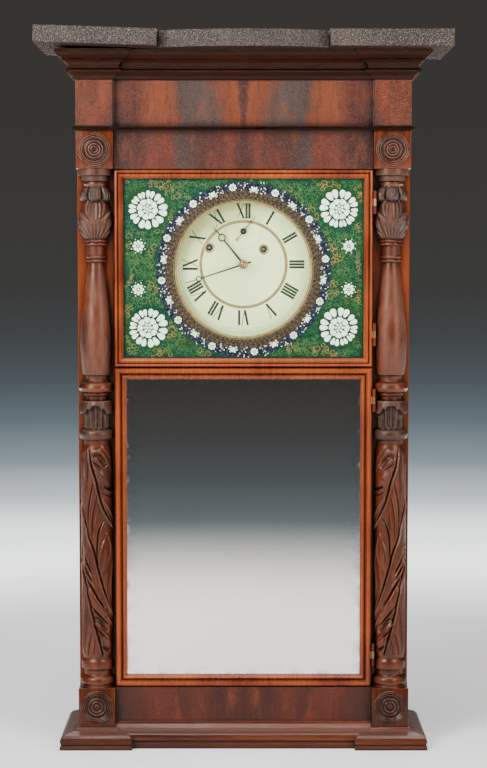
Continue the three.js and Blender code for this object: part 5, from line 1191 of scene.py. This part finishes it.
def buildScrolls():
    # gold and green tendrils that curl over the ground, clear of the flowers and the ring
    s, t = scroll, tablet
    depth = flower["paintY"] + s["behind"]
    rng = random.Random(23)
    gold, green = Shape(), Shape()
    keepOff = [(x, z, flower["bigRadius"] + 1.0) for x, z in flower["big"]]
    keepOff += [(x, z, flower["smallRadius"] + 1.5) for x, z in flower["small"]]
    keepOff.append((0, tablet["centreZ"], tablet["ringOuter"] + 0.5))
    placed = []
    for attempt in range(s["tries"]):
        size = rng.uniform(*s["sizes"])
        x = rng.uniform(-t["halfWidth"] + size + s["marginX"], t["halfWidth"] - size - s["marginX"])
        z = rng.uniform(t["low"] + size + s["marginZ"], t["high"] - size - s["marginZ"])
        if any(math.hypot(x - a, z - b) < r + size * s["clear"] for a, b, r in keepOff):
            continue
        if any(math.hypot(x - a, z - b) < (size + r) * s["spacing"] for a, b, r in placed):
            continue
        placed.append((x, z, size))
        warmPatch = math.sin(x * 0.11 + 1.3) + math.sin(z * 0.13 + x * 0.05) > 0.35
        curl = gold if warmPatch else green
        hand = rng.choice((-1, 1))
        begin = rng.uniform(0, tau)
        shares = [i / s["steps"] for i in range(s["steps"] + 1)]
        path = []
        for share in shares:
            radius = size * (s["start"] - s["tighten"] * share)
            turn = begin + hand * share * s["halfTurns"] * math.pi
            path.append((x + radius * math.sin(turn), z + radius * math.cos(turn)))
        widths = [s["thin"] + s["swell"] * math.sin(math.pi * share) for share in shares]
        curl.ribbon(path, widths, depth, s["thick"])
        for k in range(s["leaves"]):
            turn = begin + hand * (0.2 + k * 0.55)
            root = (x + size * math.sin(turn), z + size * math.cos(turn))
            outline = petalOutline(root, turn - hand * 0.9, 0, size * 0.55, size * 0.22, 0.7, 6)
            layPaint(curl, outline, depth, s["thick"])
    paintedPiece("tablet_gold_scrolls", gold, goldLine)
    paintedPiece("tablet_green_scrolls", green, greenLine)
    for name, finish, count, behind, wide in brush["kinds"]:
        # short curved brush strokes that fill the ground
        strokes = Shape()
        for attempt in range(count):
            x = rng.uniform(-t["halfWidth"] + brush["marginX"], t["halfWidth"] - brush["marginX"])
            z = rng.uniform(t["low"] + brush["marginZ"], t["high"] - brush["marginZ"])
            if any(math.hypot(x - a, z - b) < r + 0.5 for a, b, r in keepOff):
                continue
            turn, bend = rng.uniform(0, tau), rng.uniform(-brush["bend"], brush["bend"])
            length = rng.uniform(*brush["lengths"])
            path = []
            for k in range(4):
                path.append((x, z))
                x += math.sin(turn + bend * k / 2) * length / 3
                z += math.cos(turn + bend * k / 2) * length / 3
            strokes.ribbon(path, [0.15, wide, wide, 0.1], flower["paintY"] + behind, brush["thick"])
        paintedPiece(name, strokes, finish)
    print("scrolls laid:", len(placed))


buildFlowers()
buildWreath()
buildScrolls()


# Dial: rings, minute lines and plain numerals as thin paint, turned collars in the winding holes

dial = {
    "centreZ": 673.7, "face": -2.0, "thick": 0.14, "chapterLow": 64.0, "chapterHigh": 84.6, "thickBar": 3.3,
    "thinBar": 1.0, "gap": 4.1, "serif": 0.55, "serifReach": 0.75, "footOfV": 4.2,
    "letterWidths": {"I": 0.0, "V": 8.2, "X": 8.6},
    # radius and width
    "tanRing": (59.7, 4.2), "minuteRings": [(91.0, 0.35), (95.0, 0.35)],
    "secondsRings": [(26.6, 0.3), (23.8, 0.25)],
    # radii of the ticks and their width, every fifth one last
    "minuteTicks": [((90.8, 93.0, 95.2), 0.4), ((90.2, 93.0, 95.8), 0.4)],
    "secondsTicks": [((23.8, 25.2, 26.6), 0.22), ((23.8, 25.2, 26.6), 0.4)],
    "secondsCentre": (0, 719.7), "winding": [(28.1, 694.8), (-47.6, 697.0)], "collarRadius": 7.3,
    # turned collar of a winding hole: inset from its rim, depth
    "collar": [(0, 0), (0, -0.35), (0.5, -0.75), (1.2, -0.8), (1.9, -0.45), (2.3, -0.15), (2.4, 1.2),
               (2.1, 1.2)],
}
inkLine = paintLine("dial_numeral_paint", (0.018, 0.030, 0.020), (0.035, 0.050, 0.035), 300, 0.5)
faintLine = paintLine("dial_minute_paint", (0.34, 0.34, 0.22), (0.44, 0.43, 0.30), 300, 0.5)


def numeralStrokes(text):
    # strokes of one numeral, as (x at its top, x at its foot, width), and the numeral's width
    d = dial
    strokes = []
    at, previous = 0.0, None
    for letter in text:
        if previous:
            at += d["gap"] if letter == previous == "I" else d["gap"] * 0.95
        end, foot = at + d["letterWidths"][letter], at + d["footOfV"]
        if letter == "I":
            strokes.append((at, at, d["thickBar"]))
        elif letter == "V":
            strokes += [(at, foot, d["thickBar"]), (end, foot, d["thinBar"])]
        else:
            strokes += [(at, end, d["thickBar"]), (end, at, d["thinBar"])]
        at, previous = end, letter
    return strokes, at


def layNumeral(shape, text, turn):
    d = dial
    strokes, width = numeralStrokes(text)
    sx, cz = math.sin(turn), math.cos(turn)
    serif = d["serif"] / 2

    def placed(x, r):
        return (x - width / 2) * cz + r * sx, d["centreZ"] - (x - width / 2) * sx + r * cz

    for top, foot, thick in strokes:
        half = thick / 2
        outline = [placed(top - half, d["chapterHigh"]), placed(top + half, d["chapterHigh"]),
                   placed(foot + half, d["chapterLow"]), placed(foot - half, d["chapterLow"])]
        layPaint(shape, outline, d["face"], d["thick"])
        for x, r in ((top, d["chapterHigh"]), (foot, d["chapterLow"])):
            reach = half + d["serifReach"]
            outline = [placed(x - reach, r - serif), placed(x - reach, r + serif),
                       placed(x + reach, r + serif), placed(x + reach, r - serif)]
            layPaint(shape, outline, d["face"], d["thick"] * 0.8)


def layRing(shape, centre, radius, width, steps=200):
    shape.ribbon(circlePath(radius, centre, steps), width, dial["face"], dial["thick"])


def layTicks(shape, centre, kinds):
    for tick in range(60):
        sx, cz = math.sin(tick / 60 * tau), math.cos(tick / 60 * tau)
        radii, width = kinds[0 if tick % 5 else 1]
        path = [(centre[0] + r * sx, centre[1] + r * cz) for r in radii]
        shape.ribbon(path, width, dial["face"], dial["thick"])


def buildDialPaint():
    d = dial
    ink, faint, tan, collars = Shape(), Shape(), Shape(), Shape()
    names = ["XII", "I", "II", "III", "IIII", "V", "VI", "VII", "VIII", "IX", "X", "XI"]
    for hour, name in enumerate(names):
        layNumeral(ink, name, hour / 12 * tau)
    centre = (0, d["centreZ"])
    layRing(tan, centre, *d["tanRing"])
    for radius, width in d["minuteRings"]:
        layRing(faint, centre, radius, width)
    layTicks(faint, centre, d["minuteTicks"])
    for radius, width in d["secondsRings"]:
        layRing(faint, d["secondsCentre"], radius, width, 120)
    layTicks(faint, d["secondsCentre"], d["secondsTicks"])
    makePiece("dial_numerals", ink, inkLine, "case", smooth=False)
    makePiece("dial_minute_lines", faint, faintLine, "case")
    makePiece("dial_tan_ring", tan, tanLine, "case")
    profile = [((d["collarRadius"] - inset) * mm, depth * mm) for inset, depth in d["collar"]]
    for x, z in d["winding"]:
        collars.lathe((x * mm, d["face"] * mm, z * mm), profile, 72)
    makePiece("winding_collars", collars, collarBrass, "case")


buildDialPaint()

# turned brass cap over the hands' hub: radius and depth in mm
collet = [(0, -14.3), (1.1, -14.3), (1.4, -15.1), (2.0, -15.4), (2.7, -15.1), (2.95, -14.1), (3.9, -14.05),
          (4.25, -14.9), (5.0, -15.1), (5.6, -14.6), (6.2, -13.7), (6.6, -12.8), (6.6, -10.5), (6.2, -10.1),
          (2.3, -10.1)]


def buildCollet():
    shape = Shape()
    shape.lathe((0, 0, dial["centreZ"] * mm), [(a * mm, b * mm) for a, b in collet], 72)
    makePiece("hand_collet", shape, collarBrass, "minute")


buildCollet()
print("dial painted")


# Gilt slip between the lower door's beads and its mirror

slip = {"front": -18.9, "back": -18.15, "inner": 163.4, "low": 98.1, "high": 514.9, "reach": 4.6}


def buildSlip():
    s = slip
    rows = []
    profile = [(0, s["back"]), (0, s["front"] + 0.5), (0.25, s["front"]), (0.6, s["front"] + 0.15),
               (0.9, s["back"] - 0.25), (1, s["back"])]
    for share, y in profile:
        grow = (1 - share) * s["reach"]
        x = s["inner"] + grow
        low, high = s["low"] - grow, s["high"] + grow
        rows.append([(a * mm, y * mm, b * mm) for a, b in ((-x, low), (x, low), (x, high), (-x, high))])
    body = Shape()
    body.grid(rows, closedAcross=True, closedAlong=True)
    gilt = metal("gilt_slip", (0.55, 0.43, 0.22), (0.30, 0.21, 0.11), 0.42, tarnish=0.7)
    makePiece("gilt_slip", body, gilt, "lower_door", creaseDegrees=60)


buildSlip()


# Twisted gut cords between the pulleys and the weights, each as long as its cord fall

cordFall = {"rowStep": 1.5, "around": 12, "strands": 3, "pitch": 9.0, "groove": 0.22}


def buildCordFall(word):
    c = cordFall
    low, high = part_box(word + "_cord_fall")
    x, y = (low[0] + high[0]) / 2, (low[1] + high[1]) / 2
    thick, tall = (high[0] - low[0]) / 2, high[2] - low[2]
    steps = int(tall / (c["rowStep"] * mm))
    rows = []
    for i in range(steps + 1):
        up = tall * i / steps
        row = []
        for k in range(c["around"]):
            turn = k / c["around"] * tau
            twist = up / (c["pitch"] * mm) * tau
            radius = thick * (1 - c["groove"] * (1 - abs(math.cos(c["strands"] / 2 * (turn - twist)))))
            row.append((x + radius * math.cos(turn), y + radius * math.sin(turn), low[2] + up))
        rows.append(row)
    strand = Shape()
    strand.grid(rows, closedAcross=True)
    strand.faces.append(list(range(c["around"])))
    strand.faces.append([steps * c["around"] + k for k in range(c["around"])])
    piece = makePiece(word + "_gut_cord", strand, cordGut, "case", creaseDegrees=60)
    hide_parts(word + "_cord_fall")
    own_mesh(piece)


for word in ("time", "strike"):
    buildCordFall(word)
print("cords hung")


# Floor, light and camera

studio = {
    "floorRadius": 2.6, "floorSides": 64, "floorFade": (0.9, 2.4),
    # soft boxes: name, place, point aimed at, width and height, watts
    "softboxes": [
        ("key_left", (-1.5, -1.75, 1.55), (0, 0, 0.5), (0.9, 1.5), 92.0),
        ("fill_right", (1.6, -1.7, 1.35), (0, 0, 0.5), (0.8, 1.5), 42.0),
        ("overhead", (0, -0.5, 2.3), (0, 0, 0.4), (1.6, 1.0), 56.0),
        ("rear_glow", (0, 1.7, 1.2), (0, 0, 0.2), (1.6, 0.6), 16.0),
    ],
}
# fitted to the photograph; metres, millimetres of lens and degrees
photoCamera = {"lens": 91.67, "sensor": 36.0, "distance": 2.736, "height": 0.68857, "tilt": 86.1874}


def buildFloor():
    # pale floor that melts into the backdrop at its rim
    pale = Finish("studio_floor")
    x, y, z = pale.axes()
    away = pale.fromMiddle(x, y)
    tone = pale.noise(3, 2, 0.5)
    colour = pale.mix(tone, (0.85, 0.85, 0.86), (0.89, 0.89, 0.89))
    pale.set(BaseColor=colour, Roughness=0.6, Alpha=pale.level(away, *studio["floorFade"], 1.0, 0.0))
    pale.material.blend_method = "BLEND"
    r, sides = studio["floorRadius"], studio["floorSides"]
    rim = [(r * math.cos(i / sides * tau), r * math.sin(i / sides * tau), 0) for i in range(sides)]
    mesh = bpy.data.meshes.new("floor")
    mesh.from_pydata(rim, [], [list(range(sides))])
    floor = bpy.data.objects.new("floor", mesh)
    mesh.materials.append(pale.material)
    bpy.context.collection.objects.link(floor)


# heights are the Z of the look direction
backdrop = {
    "low": -0.25, "high": 0.15, "cameraSide": 0.025,
    "stops": [
        (-0.20, (6.8, 6.9, 6.7)), (-0.165, (4.7, 4.8, 4.7)), (-0.145, (2.30, 2.45, 2.45)),
        (-0.1245, (0.76, 0.83, 0.86)), (-0.1045, (0.27, 0.33, 0.37)), (-0.084, (0.130, 0.170, 0.195)),
        (-0.0645, (0.082, 0.100, 0.110)), (-0.0436, (0.062, 0.068, 0.072)),
        (-0.019, (0.050, 0.050, 0.049)), (0.10, (0.046, 0.042, 0.038)),
    ],
}


def buildWorld():
    # backdrop light: dark above, pale towards the floor, a little darker on the camera's side
    world = bpy.data.worlds.new("studio")
    world.use_nodes = True
    bpy.context.scene.world = world
    nodes, links = world.node_tree.nodes, world.node_tree.links
    place = nodes.new("ShaderNodeTexCoord")
    split = nodes.new("ShaderNodeSeparateXYZ")
    links.new(place.outputs["Generated"], split.inputs[0])
    front = nodes.new("ShaderNodeMath")  # the camera's side is darker at the same height
    front.operation = "MULTIPLY_ADD"
    links.new(split.outputs["Y"], front.inputs[0])
    front.inputs[1].default_value = -backdrop["cameraSide"]
    links.new(split.outputs["Z"], front.inputs[2])
    ramp = nodes.new("ShaderNodeValToRGB")
    low, high, stops = backdrop["low"], backdrop["high"], backdrop["stops"]
    while len(ramp.color_ramp.elements) < len(stops):
        ramp.color_ramp.elements.new(0.5)
    for element, (at, colour) in zip(ramp.color_ramp.elements, stops):
        element.position = (at - backdrop["cameraSide"] - low) / (high - low)
        element.color = (*colour, 1)
    spread = nodes.new("ShaderNodeMapRange")
    links.new(front.outputs[0], spread.inputs[0])
    spread.inputs[1].default_value = low
    spread.inputs[2].default_value = high
    links.new(spread.outputs[0], ramp.inputs[0])
    links.new(ramp.outputs[0], nodes["Background"].inputs[0])
    nodes["Background"].inputs[1].default_value = 1.0


def addSoftbox(name, place, target, size, watts):
    data = bpy.data.lights.new(name, "AREA")
    data.shape = "RECTANGLE"
    data.size, data.size_y = size
    data.energy = watts
    lamp = bpy.data.objects.new(name, data)
    bpy.context.collection.objects.link(lamp)
    lamp.location = place
    ahead = np.array(target, float) - np.array(place, float)
    flat = math.hypot(ahead[0], ahead[1])
    lamp.rotation_euler = (math.atan2(flat, -ahead[2]), 0, math.atan2(-ahead[0], ahead[1]))


def buildCamera():
    data = bpy.data.cameras.new("photo_camera")
    data.lens = photoCamera["lens"]
    data.sensor_width = photoCamera["sensor"]
    data.sensor_fit = "AUTO"
    camera = bpy.data.objects.new("photo_camera", data)
    bpy.context.collection.objects.link(camera)
    camera.location = (0, -photoCamera["distance"], photoCamera["height"])
    camera.rotation_euler = (math.radians(photoCamera["tilt"]), 0, 0)
    bpy.context.scene.camera = camera


buildFloor()
buildWorld()
for softbox in studio["softboxes"]:
    addSoftbox(*softbox)
buildCamera()
print("studio lit")
